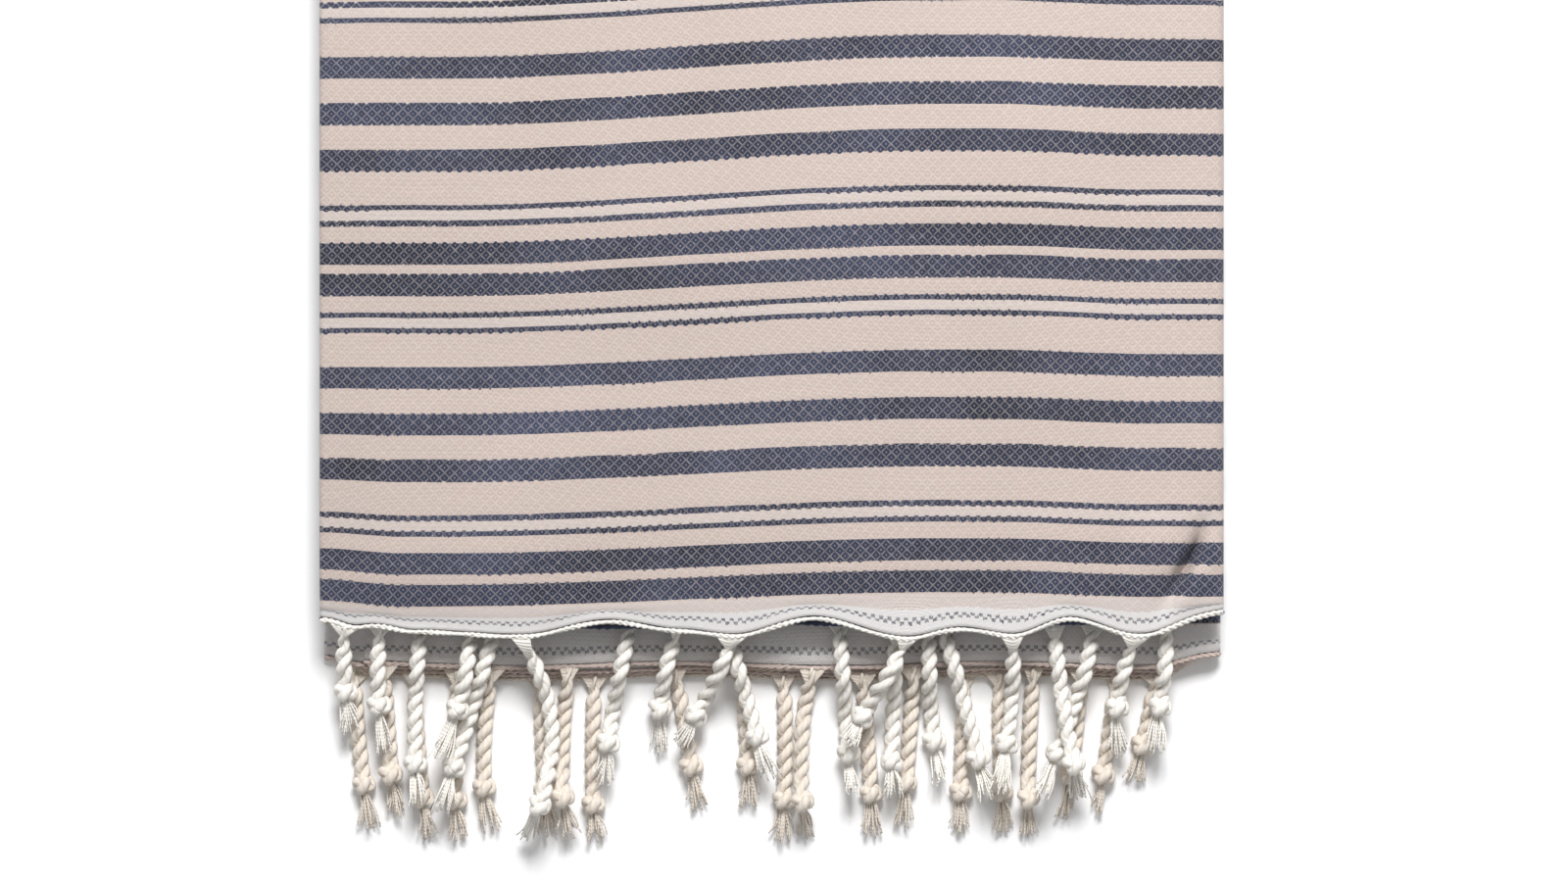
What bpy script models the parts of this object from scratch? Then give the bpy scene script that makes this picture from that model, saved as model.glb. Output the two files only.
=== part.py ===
"""A hammam towel quartered lengthwise, folded once across and laid flat, with a knotted cord fringe at each end.

X runs across the folded strip, +Y away from the fringed ends and +Z up from the surface that it lies on.
The cloth is one surface: its section back and forth across the strip is carried along a run, round the
crosswise fold and back. All sizes are in metres.
"""

import math

import bmesh
import bpy
import numpy as np

# The woven cloth and how it is folded.
CLOTH_WIDTH = 0.940
CLOTH_LENGTH = 1.7034
THICKNESS = 0.0010
STRIP_WIDTH = 0.240
PITCH = 0.0020  # from the middle of one layer to the middle of the next
BEND_RADIUS = 0.0055  # of the crosswise fold, at the middle of the four layers
SELVEDGE_STEP = 0.0037  # how far the two selvedges lie from each other, seen from above

# The levels of the folded stack.
GROUP_HALF = 1.5 * PITCH
LOW_LEVEL = GROUP_HALF + THICKNESS / 2
BEND_LEVEL = LOW_LEVEL + BEND_RADIUS
STACK = BEND_LEVEL + BEND_RADIUS + GROUP_HALF + THICKNESS / 2
BEND_LENGTH = math.pi * (BEND_RADIUS + GROUP_HALF)
RUN_LENGTH = (CLOTH_LENGTH - BEND_LENGTH) / 2

# The section across the strip: four runs joined by three folds.
RIGHT_TURN = STRIP_WIDTH / 2 - THICKNESS / 2 - GROUP_HALF
LEFT_TURN = -STRIP_WIDTH / 2 + THICKNESS / 2 + PITCH / 2
TURNS_LENGTH = 2.5 * math.pi * PITCH
HIDDEN_RUN = (CLOTH_WIDTH - TURNS_LENGTH) / 2 - (RIGHT_TURN - LEFT_TURN)
INNER_SELVEDGE = RIGHT_TURN - HIDDEN_RUN - SELVEDGE_STEP / 2
OUTER_SELVEDGE = RIGHT_TURN - HIDDEN_RUN + SELVEDGE_STEP / 2
RUNS = (  # height in pitches, first x, last x
    (-0.5, INNER_SELVEDGE, RIGHT_TURN),
    (0.5, RIGHT_TURN, LEFT_TURN),
    (1.5, LEFT_TURN, RIGHT_TURN),
    (-1.5, RIGHT_TURN, OUTER_SELVEDGE),
)
FOLDS = (  # height of the centre in pitches, radius in pitches, side
    (0.0, 0.5, 1.0),
    (1.0, 0.5, -1.0),
    (0.0, 1.5, 1.0),
)
HIDDEN_COLUMNS = (0.0, 0.05, 0.15, 0.32, 0.5, 0.68, 0.85, 0.95, 1.0)  # shares of a run's width
FOLD_STEPS = (4, 4, 6)

# How far each run's hem lies beyond the uppermost one, for the upper and the lower end of the towel.
UPPER_REACH = (-0.0034, -0.0026, 0.0, -0.0042)
UPPER_AT_FOLDS = 0.0
LOWER_REACH = (0.0098, 0.0108, 0.0118, 0.0086)
LOWER_AT_FOLDS = 0.0086
HEM_WAVE = 0.0006
HEM_WAVE_LENGTH = 0.085

# The uppermost hem's scallops: x, and how far the hem is drawn back there.
SCALLOPS = (
    (-0.1200, 0.0010),
    (-0.1135, 0.0000),
    (-0.1050, 0.0018),
    (-0.0950, 0.0006),
    (-0.0668, -0.0004),
    (-0.0430, 0.0028),
    (-0.0240, 0.0008),
    (-0.0103, -0.0003),
    (0.0110, 0.0035),
    (0.0357, -0.0008),
    (0.0500, 0.0012),
    (0.0637, -0.0002),
    (0.0790, 0.0034),
    (0.0967, -0.0002),
    (0.1200, 0.0010),
)
HEM_BAND = 0.010  # the scallops fade out over this distance from the hem
CORNER_RISE = ((-0.104, -0.016, 0.0040), (0.098, 0.022, 0.0060))  # start, width, how far drawn back
HEM_LIFT = 0.0010
HEM_SAG = 0.0016
LIFT_BAND = 0.009

# The slack bow of the rows across the strip, all towards the hem.
LEFT_BOW = (0.0448, -0.1324, 0.0036)
BOW_GROWTH = 0.0145
BOW_GROWS_TO = 0.20
LEFT_CURL = (-0.097, -0.023, -0.0017, 0.080)
RIGHT_BOW = (0.058, 0.042, 0.0012)
SHIFT_FADE = (0.25, 0.55)  # the hem's shifts fade out from here, over this length

# Soft ridges and troughs of the whole stack: x, distance from the hem, direction in degrees,
# half length, half width and height.
RELIEF = (
    (0.109, 0.017, 60.0, 0.0100, 0.0024, -0.0048),
    (0.101, 0.022, 60.0, 0.0110, 0.0050, 0.0012),
    (-0.100, 0.004, 0.0, 0.0260, 0.0070, -0.0022),
    (0.030, 0.120, 12.0, 0.0900, 0.0260, 0.0010),
    (-0.060, 0.070, -8.0, 0.0700, 0.0200, -0.0009),
    (-0.050, 0.260, 10.0, 0.1000, 0.0300, 0.0012),
    (0.050, 0.420, -14.0, 0.1000, 0.0280, -0.0011),
    (-0.030, 0.600, 6.0, 0.0900, 0.0300, 0.0010),
    (0.040, 0.740, -5.0, 0.0900, 0.0260, -0.0010),
)
EDGE_FALL = (0.016, 0.0012)  # the strip's long edges fall away over this width, by this much

# Rows of the surface along the cloth, as distances from a hem, and the steps of the crosswise fold.
UPPER_ROWS = (0.0, 0.005, 0.010, 0.015, 0.020, 0.026, 0.050, 0.10, 0.20, 0.36, 0.62, RUN_LENGTH)
LOWER_ROWS = (0.0, 0.010, 0.20, 0.50, RUN_LENGTH)
BEND_STEPS = 7
CREASE_COLUMNS = (0.1035, 0.1065, 0.1100, 0.1135)  # more columns of the uppermost run, at its dented corner

# The fringe's cords.
HEM_GAP = 0.0003
SPINE = 0.0015  # the strip of gathered yarn that the cords grow from
ROOT_RADIUS = 0.00078
CORD_RADIUS = 0.00215
KNOT_RADIUS = 0.0036
TUFT_RADIUS = 0.0027
ROOT_LENGTH = 0.0025
FULL_FROM = 0.008
KNOT_HALF = 0.0042
CLEARANCE = 0.0008
HEM_CLEARANCE = 0.0012
STEEPEST = 0.9
SAMPLES = 57
# Each cord: run, x at the hem, x on its way, x at its tip, reach in Y, place of its knot along the reach.
UPPER_CORDS = (
    (3, -0.0930, -0.0950, -0.0945, 0.0470, 0.81),
    (3, -0.0370, -0.0410, -0.0450, 0.0430, 0.78),
    (3, 0.0180, 0.0190, 0.0215, 0.0450, 0.80),
    (3, 0.0450, 0.0500, 0.0575, 0.0470, 0.80),
    (3, 0.0860, 0.0820, 0.0720, 0.0450, 0.79),
    (0, -0.0730, -0.0790, -0.0880, 0.0496, 0.79),
    (0, -0.0120, -0.0080, -0.0010, 0.0396, 0.76),
    (0, 0.0420, 0.0420, 0.0450, 0.0416, 0.77),
    (0, 0.0750, 0.0770, 0.0820, 0.0456, 0.81),
    (1, -0.1040, -0.1050, -0.1035, 0.0322, 0.67),
    (1, -0.0803, -0.0815, -0.0880, 0.0342, 0.67),
    (1, -0.0245, -0.0285, -0.0300, 0.0322, 0.69),
    (1, 0.0330, 0.0325, 0.0318, 0.0442, 0.82),
    (1, 0.1050, 0.1045, 0.1020, 0.0332, 0.70),
    (2, -0.1135, -0.1140, -0.1125, 0.027, 0.66),
    (2, -0.0668, -0.0592, -0.0655, 0.053, 0.84),
    (2, -0.0103, -0.0150, -0.0245, 0.028, 0.76),
    (2, 0.0362, 0.0300, 0.0205, 0.027, 0.78),
    (2, 0.0637, 0.0640, 0.0600, 0.040, 0.72),
    (2, 0.0967, 0.0930, 0.0925, 0.030, 0.64),
)
LOWER_CORDS = (
    (2, -0.1120, -0.1110, -0.1075, 0.041, 0.76),
    (2, -0.0620, -0.0615, -0.0600, 0.040, 0.74),
    (2, -0.0080, -0.0070, -0.0060, 0.033, 0.72),
    (2, 0.0520, 0.0510, 0.0505, 0.040, 0.77),
    (2, 0.0920, 0.0905, 0.0870, 0.034, 0.75),
    (1, -0.0960, -0.0950, -0.0925, 0.043, 0.78),
    (1, -0.0474, -0.0480, -0.0474, 0.043, 0.80),
    (1, 0.0030, 0.0035, 0.0025, 0.043, 0.78),
    (1, 0.0610, 0.0610, 0.0620, 0.041, 0.78),
    (1, 0.1030, 0.1010, 0.0970, 0.027, 0.70),
    (0, -0.0840, -0.0850, -0.0840, 0.044, 0.79),
    (0, -0.0260, -0.0235, -0.0200, 0.036, 0.72),
    (0, 0.0240, 0.0255, 0.0270, 0.042, 0.77),
    (0, 0.0700, 0.0690, 0.0685, 0.043, 0.80),
    (0, 0.0830, 0.0815, 0.0785, 0.038, 0.74),
    (3, -0.1040, -0.1030, -0.1010, 0.039, 0.75),
    (3, -0.0750, -0.0770, -0.0760, 0.042, 0.76),
    (3, -0.0540, -0.0560, -0.0545, 0.044, 0.78),
    (3, 0.0110, 0.0080, 0.0095, 0.044, 0.80),
    (3, 0.0380, 0.0370, 0.0350, 0.041, 0.76),
)
PLACING_ORDER = (2, 1, 0, 3)  # the lower group's runs from the surface up; the upper group's come in reverse

COLOURS = {
    "towel_cloth": (0.62, 0.52, 0.47, 1.0),
    "fringe_upper_end": (0.86, 0.84, 0.79, 1.0),
    "fringe_lower_end": (0.80, 0.77, 0.71, 1.0),
}


def smooth(value):
    """A step from 0 to 1 with level ends."""
    t = np.clip(value, 0.0, 1.0)
    return t * t * (3.0 - 2.0 * t)


def columns(first, last, uppermost):
    """x of a run's columns: the scallops' own places on the uppermost run, and a few shares on the others."""
    if uppermost:
        places = [x for x, _ in SCALLOPS if first < x < last]
        return np.array(sorted([first, *places, *CREASE_COLUMNS, last]))
    return first + (last - first) * np.array(HIDDEN_COLUMNS)


def section():
    """x, height and run number along the cloth's width: straight runs joined by half circles."""
    x, height, run = [], [], []
    for number, (pitches, first, last) in enumerate(RUNS):
        x.append(columns(first, last, number == 2))
        height.append(np.full(len(x[-1]), pitches * PITCH))
        run.append(np.full(len(x[-1]), float(number)))
        if number < len(FOLDS):
            centre, radius, side = FOLDS[number]
            share = np.arange(1, FOLD_STEPS[number]) / FOLD_STEPS[number]
            angle = math.copysign(math.pi / 2, pitches - centre) * (1.0 - 2.0 * share)
            x.append(last + side * radius * PITCH * np.cos(angle))
            height.append((centre + radius * np.sin(angle)) * PITCH)
            run.append(number + share)
    return np.concatenate(x), np.concatenate(height), np.concatenate(run)


def bow(x, d):
    """How far the rows of the cloth sag towards the hem at x, at distance d from it."""
    start, width, drop = LEFT_BOW
    total = (drop + BOW_GROWTH * np.clip(d, 0.0, BOW_GROWS_TO)) * smooth((x - start) / width)
    start, width, curl, gone = LEFT_CURL
    total = total + curl * smooth((x - start) / width) * (1.0 - smooth(d / gone))
    start, width, drop = RIGHT_BOW
    return total + drop * smooth((x - start) / width)


def between_folds(x):
    """1 over the strip's width and 0 at its two long edges."""
    edge = 0.012
    return smooth((x - LEFT_TURN) / edge) * smooth((RIGHT_TURN - x) / edge)


def scallop(x):
    """How far the uppermost hem is drawn back at x: smooth steps between the table's places."""
    places, depths = np.array(SCALLOPS).T
    k = np.clip(np.searchsorted(places, x) - 1, 0, len(places) - 2)
    share = smooth((x - places[k]) / (places[k + 1] - places[k]))
    return depths[k] + (depths[k + 1] - depths[k]) * share


def on_top(run):
    """1 on the uppermost run, 0 on the others."""
    return np.clip(1.0 - np.abs(run - 2.0), 0.0, 1.0)


def reach_of(x, run, table, at_folds):
    """How far the cloth of a run lies beyond the uppermost hem. At the folds the runs lie level."""
    return at_folds + (np.interp(run, range(4), table) - at_folds) * between_folds(x)


def corner_rise(x):
    """How far the strip's two corners are drawn back."""
    return sum(rise * smooth((x - start) / width) for start, width, rise in CORNER_RISE)


def hem_wave(x, turn):
    """The slight waviness of a hidden hem."""
    return HEM_WAVE * np.sin(2 * math.pi * x / HEM_WAVE_LENGTH + turn) * between_folds(x)


def upper_hem(x, run):
    """The upper end's hem, measured from the level of its first scallop."""
    scallops = scallop(x) * between_folds(x)
    shape = on_top(run) * scallops + (1.0 - on_top(run)) * hem_wave(x, 1.7 * run)
    return shape + corner_rise(x) - reach_of(x, run, UPPER_REACH, UPPER_AT_FOLDS)


def lower_hem(x, run):
    """The lower end's hem, on the same measure."""
    return hem_wave(x, 2.6 + 0.3 * run) + 0.5 * corner_rise(x) - reach_of(x, run, LOWER_REACH, LOWER_AT_FOLDS)


def relief(x, d):
    """Height of the soft ridges, troughs and falling edges of the stack at x and d from the hem."""
    total = np.zeros(np.broadcast(x, d).shape)
    for centre_x, centre_d, direction, long, wide, height in RELIEF:
        c, s = math.cos(math.radians(direction)), math.sin(math.radians(direction))
        along = ((x - centre_x) * c + (d - centre_d) * s) / long
        aside = ((d - centre_d) * c - (x - centre_x) * s) / wide
        total = total + height * np.exp(-(along**2) - aside**2)
    width, fall = EDGE_FALL
    return total - fall * (1.0 - smooth((STRIP_WIDTH / 2 - np.abs(x)) / width))


def lay(x, height, run, v):
    """The place on the folded towel of cloth at x, height and run, at v along its length from the upper hem.

    The first run lies above, the crosswise fold turns about BEND_LEVEL and the last run returns below.
    """
    x, height, run, v = np.broadcast_arrays(x, height, run, v)
    above = v < RUN_LENGTH
    below = v > CLOTH_LENGTH - RUN_LENGTH
    turn = np.clip((v - RUN_LENGTH) / BEND_LENGTH, 0.0, 1.0) * math.pi
    radius = BEND_RADIUS + height
    y = radius * np.sin(turn)
    z = BEND_LEVEL + radius * np.cos(turn)

    d = np.where(above, v, CLOTH_LENGTH - v)
    fade = 1.0 - smooth((d - SHIFT_FADE[0]) / SHIFT_FADE[1])
    at_hem = 1.0 - smooth(d / HEM_BAND)
    reach = reach_of(x, run, UPPER_REACH, UPPER_AT_FOLDS)
    upper = at_hem * upper_hem(x, run) - (1.0 - at_hem) * (bow(x, d) + reach)
    reach = reach_of(x, run, LOWER_REACH, LOWER_AT_FOLDS)
    lower = at_hem * lower_hem(x, run) - (1.0 - at_hem) * reach
    straight = above | below
    shift = np.where(above, upper, lower) * fade
    y = np.where(straight, d - RUN_LENGTH + shift, y)

    near = 1.0 - smooth(d / LIFT_BAND)
    drawn = np.clip(scallop(x) / 0.0035, 0.0, 1.0)
    lift = on_top(run) * HEM_LIFT * drawn - (1.0 - on_top(run)) * HEM_SAG
    z = z + np.where(above, lift * near * between_folds(x), 0.0)
    from_hem = np.clip(y + RUN_LENGTH, 0.0, RUN_LENGTH)
    lowest = THICKNESS / 2
    z = lowest + (z - lowest) * (1.0 + relief(x, from_hem) / STACK)
    return np.stack([x, y, z], axis=-1)


def sheet(name, grid):
    """A mesh object of the grid's quads, before it has a thickness."""
    rows, columns = grid.shape[:2]
    index = np.arange(rows * columns).reshape(rows, columns)
    corners = index[:-1, :-1], index[:-1, 1:], index[1:, 1:], index[1:, :-1]
    quads = np.stack([corner.ravel() for corner in corners], axis=-1)
    mesh = bpy.data.meshes.new(name)
    mesh.from_pydata(grid.reshape(-1, 3).tolist(), [], quads.tolist())
    mesh.validate()
    return bpy.data.objects.new(name, mesh)


def thicken(piece):
    """Gives a sheet its thickness, half to each side."""
    solidify = piece.modifiers.new("thickness", "SOLIDIFY")
    solidify.thickness = THICKNESS
    solidify.offset = 0.0


def make_cloth():
    x, height, run = section()
    bend = RUN_LENGTH + BEND_LENGTH * np.arange(1, BEND_STEPS) / BEND_STEPS
    below = CLOTH_LENGTH - np.array(LOWER_ROWS)[::-1]
    v = np.concatenate([UPPER_ROWS, bend, below])
    piece = sheet("towel_cloth", lay(x, height, run, v[:, None]))
    thicken(piece)
    return piece


def hem_places(end):
    """v at the hem of an end, and the direction in v that leads off the cloth."""
    return (0.0, -1.0) if end == "upper" else (CLOTH_LENGTH, 1.0)


def cord_root(end, run, x):
    """Where a cord leaves the spine."""
    hem, away = hem_places(end)
    v = hem + away * (HEM_GAP + SPINE / 2)
    root = lay(x, RUNS[run][0] * PITCH, float(run), v)
    root[2] = max(root[2], ROOT_RADIUS + 0.00002)
    return root


def cord_radius(share, reach, knot):
    """The radius along a cord: a thin root, the full cord, a knot and the tuft after it."""
    s = share * reach
    radius = ROOT_RADIUS + (CORD_RADIUS - ROOT_RADIUS) * smooth((s - ROOT_LENGTH) / (FULL_FROM - ROOT_LENGTH))
    radius = radius + (TUFT_RADIUS - CORD_RADIUS) * smooth((s - knot * reach) / KNOT_HALF)
    swell = 1.0 - smooth(np.abs(s - knot * reach) / KNOT_HALF)
    return radius + (KNOT_RADIUS - radius) * swell


def over_hems(points, radius):
    """Lowest heights for the middle of a cord over every hem that lies below its root.

    A cord that slopes down as steeply as it can takes more than its radius in height.
    """
    x = points[:, 0]
    tall = radius * math.hypot(1.0, STEEPEST)
    lowest = np.zeros(len(points))
    for hem, away in (hem_places("upper"), hem_places("lower")):
        for number, (pitches, _, _) in enumerate(RUNS):
            edge = lay(x, pitches * PITCH, float(number), hem + away * (HEM_GAP + SPINE))
            if edge[0, 2] > points[0, 2] - PITCH / 2:
                continue
            inside = np.clip(points[:, 1] - edge[:, 1], 0.0, None)
            under = lay(x, pitches * PITCH, float(number), hem + away * (HEM_GAP + SPINE - inside))
            beyond = np.clip(edge[:, 1] - points[:, 1], 0.0, tall)
            top = under[:, 2] + THICKNESS / 2 + HEM_CLEARANCE
            over = top + np.sqrt(tall**2 - beyond**2)
            lowest = np.maximum(lowest, np.where(beyond < tall, over, 0.0))
    return lowest


def settle(points, radius, placed):
    """Heights of a cord that comes down from its root and rests on the surface, hems and cords placed before it."""
    run = np.linalg.norm(np.diff(points[:, :2], axis=0), axis=1)
    s = np.concatenate([[0.0], np.cumsum(run)])
    rest = np.maximum(radius + 0.00002, over_hems(points, radius))
    if placed:
        others = np.concatenate(placed)
        apart = np.linalg.norm(points[:, None, :2] - others[None, :, :2], axis=2)
        touch = (radius[:, None] + others[None, :, 3] + CLEARANCE) * smooth(s / 0.005)[:, None]
        lift = others[None, :, 2] + np.sqrt(np.clip(touch**2 - apart**2, 0.0, None))
        rest = np.maximum(rest, np.where(apart < touch, lift, 0.0).max(axis=1))
    rest[0] = points[0, 2]
    z = rest.copy()
    for k in range(1, len(z)):
        z[k] = max(z[k], z[k - 1] - STEEPEST * run[k - 1])
    for k in range(len(z) - 2, 0, -1):
        z[k] = max(z[k], z[k + 1] - STEEPEST * run[k])
    for _ in range(6):
        z[1:-1] = np.maximum(rest[1:-1], (z[:-2] + z[1:-1] + z[2:]) / 3)
    z[0] = points[0, 2]
    return z


def plan(root, on_way, tip, reach, share):
    """x and y along a cord: a parabola through the x of its root, of its way at 0.4 and of its tip."""
    first, middle, last = root[0], on_way, tip
    bend = ((last - first) * 0.4 - (middle - first)) / (0.4 * 0.6)
    x = first + (last - first) * share - bend * share * (1.0 - share)
    return np.stack([x, root[1] - reach * share], axis=-1)


def settled_cords():
    """The cords of both ends in the order in which they lie: {end: [(samples of x, y, z, radius, knot)]}."""
    cords, placed = {"lower": [], "upper": []}, []
    share = np.linspace(0.0, 1.0, SAMPLES)
    jobs = [("lower", run) for run in PLACING_ORDER] + [("upper", run) for run in PLACING_ORDER[::-1]]
    tables = {"lower": LOWER_CORDS, "upper": UPPER_CORDS}
    for end, layer in jobs:
        for run, x, on_way, tip, reach, knot in tables[end]:
            if run != layer:
                continue
            root = cord_root(end, run, x)
            flat = plan(root, on_way, tip, reach, share)
            points = np.column_stack([flat, np.full(SAMPLES, root[2])])
            radius = cord_radius(share, reach, knot)
            points[:, 2] = settle(points, radius, placed)
            samples = np.column_stack([points, radius])
            placed.append(samples)
            cords[end].append((samples, knot))
    return cords


def tube(name, samples, knot, reach):
    """A six-sided closed tube along a cord, as a mesh object."""
    half = KNOT_HALF / reach
    grown, neck = FULL_FROM / reach, knot - half
    stations = (0.0, ROOT_LENGTH / reach, grown, (grown + neck) / 2, neck, knot, knot + half, 1.0)
    share = np.linspace(0.0, 1.0, len(samples))
    curve = bpy.data.curves.new(name, "CURVE")
    curve.dimensions = "3D"
    curve.bevel_depth = 1.0
    curve.bevel_resolution = 1
    curve.use_fill_caps = True
    spline = curve.splines.new("POLY")
    spline.points.add(len(stations) - 1)
    for point, station in zip(spline.points, stations):
        x, y, z, radius = (np.interp(station, share, column) for column in samples.T)
        point.co = (x, y, z, 1.0)
        point.radius = radius
    made = bpy.data.objects.new(name, curve)
    bpy.context.scene.collection.objects.link(made)
    bpy.context.view_layer.update()
    evaluated = made.evaluated_get(bpy.context.evaluated_depsgraph_get())
    mesh = bpy.data.meshes.new_from_object(evaluated)
    bpy.data.objects.remove(made)
    weld(mesh)
    return bpy.data.objects.new(name, mesh)


def weld(mesh):
    """Joins a tube's caps to its sides."""
    edit = bmesh.new()
    edit.from_mesh(mesh)
    bmesh.ops.remove_doubles(edit, verts=edit.verts, dist=0.00001)
    bmesh.ops.recalc_face_normals(edit, faces=edit.faces)
    edit.to_mesh(mesh)
    edit.free()


def make_fringe(end, cords, cutters):
    """One comb: the spine beside the hem with its cords joined to it."""
    x, height, run = section()
    hem, away = hem_places(end)
    v = hem + away * np.array([HEM_GAP, HEM_GAP + SPINE])
    piece = sheet(f"fringe_{end}_end", lay(x, height, run, np.sort(v)[:, None]))
    thicken(piece)
    for number, (samples, knot) in enumerate(cords):
        reach = samples[0, 1] - samples[-1, 1]
        cord = tube(f"{end}_cord_{number}", samples, knot, reach)
        cutters.objects.link(cord)
        cord.hide_render = True
        cord.display_type = "WIRE"
        union = piece.modifiers.new(cord.name, "BOOLEAN")
        union.operation = "UNION"
        union.solver = "EXACT"
        union.object = cord
    return piece


def paint(piece):
    material = bpy.data.materials.new(piece.name)
    material.use_nodes = True
    shader = material.node_tree.nodes["Principled BSDF"]
    shader.inputs["Base Color"].default_value = COLOURS[piece.name]
    shader.inputs["Roughness"].default_value = 0.9
    shader.inputs["Metallic"].default_value = 0.0
    piece.data.materials.append(material)


def centre(pieces, cutters):
    """Puts the middle of the whole towel's box over the origin, and moves the cords' cutters along."""
    bpy.context.view_layer.update()
    graph = bpy.context.evaluated_depsgraph_get()
    corners = [corner[:] for piece in pieces for corner in piece.evaluated_get(graph).bound_box]
    low, high = np.min(corners, axis=0), np.max(corners, axis=0)
    for piece in [*pieces, *cutters.objects]:
        piece.location = (-(low[0] + high[0]) / 2, -(low[1] + high[1]) / 2, 0.0)


def main():
    for item in list(bpy.data.objects):
        bpy.data.objects.remove(item)
    towel = bpy.data.collections.new("hammam_towel")
    cutters = bpy.data.collections.new("cords")
    bpy.context.scene.collection.children.link(towel)
    bpy.context.scene.collection.children.link(cutters)
    cords = settled_cords()
    pieces = [make_cloth()]
    pieces += [make_fringe(end, cords[end], cutters) for end in ("upper", "lower")]
    for piece in pieces:
        towel.objects.link(piece)
        paint(piece)
    centre(pieces, cutters)


main()
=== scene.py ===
"""Finishes a folded hammam towel: striped diamond-twill cloth, twisted cords, knots and loose tufts."""

import math

import bpy
import numpy as np
from bpy.props import FloatProperty, FloatVectorProperty, IntProperty, PointerProperty
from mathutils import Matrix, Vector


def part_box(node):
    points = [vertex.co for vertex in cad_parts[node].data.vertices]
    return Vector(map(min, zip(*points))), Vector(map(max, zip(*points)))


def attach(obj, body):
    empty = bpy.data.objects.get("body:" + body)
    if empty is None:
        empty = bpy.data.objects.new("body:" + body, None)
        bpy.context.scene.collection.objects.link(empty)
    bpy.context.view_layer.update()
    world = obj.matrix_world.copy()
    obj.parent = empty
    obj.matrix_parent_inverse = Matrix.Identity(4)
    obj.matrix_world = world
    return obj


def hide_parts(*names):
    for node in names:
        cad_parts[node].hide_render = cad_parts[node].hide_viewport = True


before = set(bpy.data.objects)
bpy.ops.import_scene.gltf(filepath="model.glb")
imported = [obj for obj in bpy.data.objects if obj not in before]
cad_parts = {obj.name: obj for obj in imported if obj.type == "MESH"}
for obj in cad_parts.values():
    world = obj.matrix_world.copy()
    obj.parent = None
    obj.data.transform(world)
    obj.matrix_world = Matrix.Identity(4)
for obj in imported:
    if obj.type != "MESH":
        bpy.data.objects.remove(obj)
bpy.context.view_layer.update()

bl_info = {
    "name": "Hammam towel",
    "version": (1, 0, 0),
    "blender": (4, 5, 0),
    "location": "3D View > Sidebar > Towel",
    "description": "Weaves, folds and fringes a hammam towel on its fixed frame",
    "category": "Object",
}

MM = 0.001

# The folded cloth, in metres, as its solid has it.
CLOTH_WIDTH = 0.940
CLOTH_LENGTH = 1.7034
THICKNESS = 0.0010
STRIP_WIDTH = 0.240
PITCH = 0.0020
BEND_RADIUS = 0.0055
SELVEDGE_STEP = 0.0037
GROUP_HALF = 1.5 * PITCH
LOW_LEVEL = GROUP_HALF + THICKNESS / 2
BEND_LEVEL = LOW_LEVEL + BEND_RADIUS
STACK = BEND_LEVEL + BEND_RADIUS + GROUP_HALF + THICKNESS / 2
BEND_LENGTH = math.pi * (BEND_RADIUS + GROUP_HALF)
RUN_LENGTH = (CLOTH_LENGTH - BEND_LENGTH) / 2
RIGHT_TURN = STRIP_WIDTH / 2 - THICKNESS / 2 - GROUP_HALF
LEFT_TURN = -STRIP_WIDTH / 2 + THICKNESS / 2 + PITCH / 2
TURNS_LENGTH = 2.5 * math.pi * PITCH
HIDDEN_RUN = (CLOTH_WIDTH - TURNS_LENGTH) / 2 - (RIGHT_TURN - LEFT_TURN)
INNER_SELVEDGE = RIGHT_TURN - HIDDEN_RUN - SELVEDGE_STEP / 2
OUTER_SELVEDGE = RIGHT_TURN - HIDDEN_RUN + SELVEDGE_STEP / 2
RUNS = (  # height in pitches, first x, last x
    (-0.5, INNER_SELVEDGE, RIGHT_TURN),
    (0.5, RIGHT_TURN, LEFT_TURN),
    (1.5, LEFT_TURN, RIGHT_TURN),
    (-1.5, RIGHT_TURN, OUTER_SELVEDGE),
)
FOLDS = ((0.0, 0.5, 1.0), (1.0, 0.5, -1.0), (0.0, 1.5, 1.0))  # centre and radius in pitches, side
TOP_RUN = 2

# Across the sheet, from its inner selvedge: the uppermost run with the folds at both its sides.
TOP_TO = CLOTH_WIDTH - HIDDEN_RUN + SELVEDGE_STEP / 2
TOP_FROM = TOP_TO - (RIGHT_TURN - LEFT_TURN) - 2.0 * math.pi * PITCH

# Where the solid stands: the crosswise fold's outer side is its furthest point in Y.
LOW, HIGH = (np.array(corner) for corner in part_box("towel_cloth"))
PLACE = np.array([
    (LOW[0] + HIGH[0]) / 2,
    HIGH[1] - BEND_RADIUS - GROUP_HALF - THICKNESS / 2,
    LOW[2],
])

# Hems, as the solid has them.
UPPER_REACH = (-0.0034, -0.0026, 0.0, -0.0042)  # how far each run lies beyond the uppermost hem
UPPER_AT_FOLDS = 0.0
LOWER_REACH = (0.0098, 0.0108, 0.0118, 0.0086)
LOWER_AT_FOLDS = 0.0086
HEM_WAVE = 0.0006
HEM_WAVE_LENGTH = 0.085
SCALLOPS = (  # x, how far the uppermost hem is drawn back there
    (-0.1200, 0.0010),
    (-0.1135, 0.0000),
    (-0.1050, 0.0018),
    (-0.0950, 0.0006),
    (-0.0668, -0.0004),
    (-0.0430, 0.0028),
    (-0.0240, 0.0008),
    (-0.0103, -0.0003),
    (0.0110, 0.0035),
    (0.0357, -0.0008),
    (0.0500, 0.0012),
    (0.0637, -0.0002),
    (0.0790, 0.0034),
    (0.0967, -0.0002),
    (0.1200, 0.0010),
)
SCALLOPS_DEEPER = 1.25  # the drawn scallops, over the solid's
LIFTED_FULLY = 0.0035  # a scallop this deep has its hem lifted by the whole of HEM_LIFT
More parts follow.
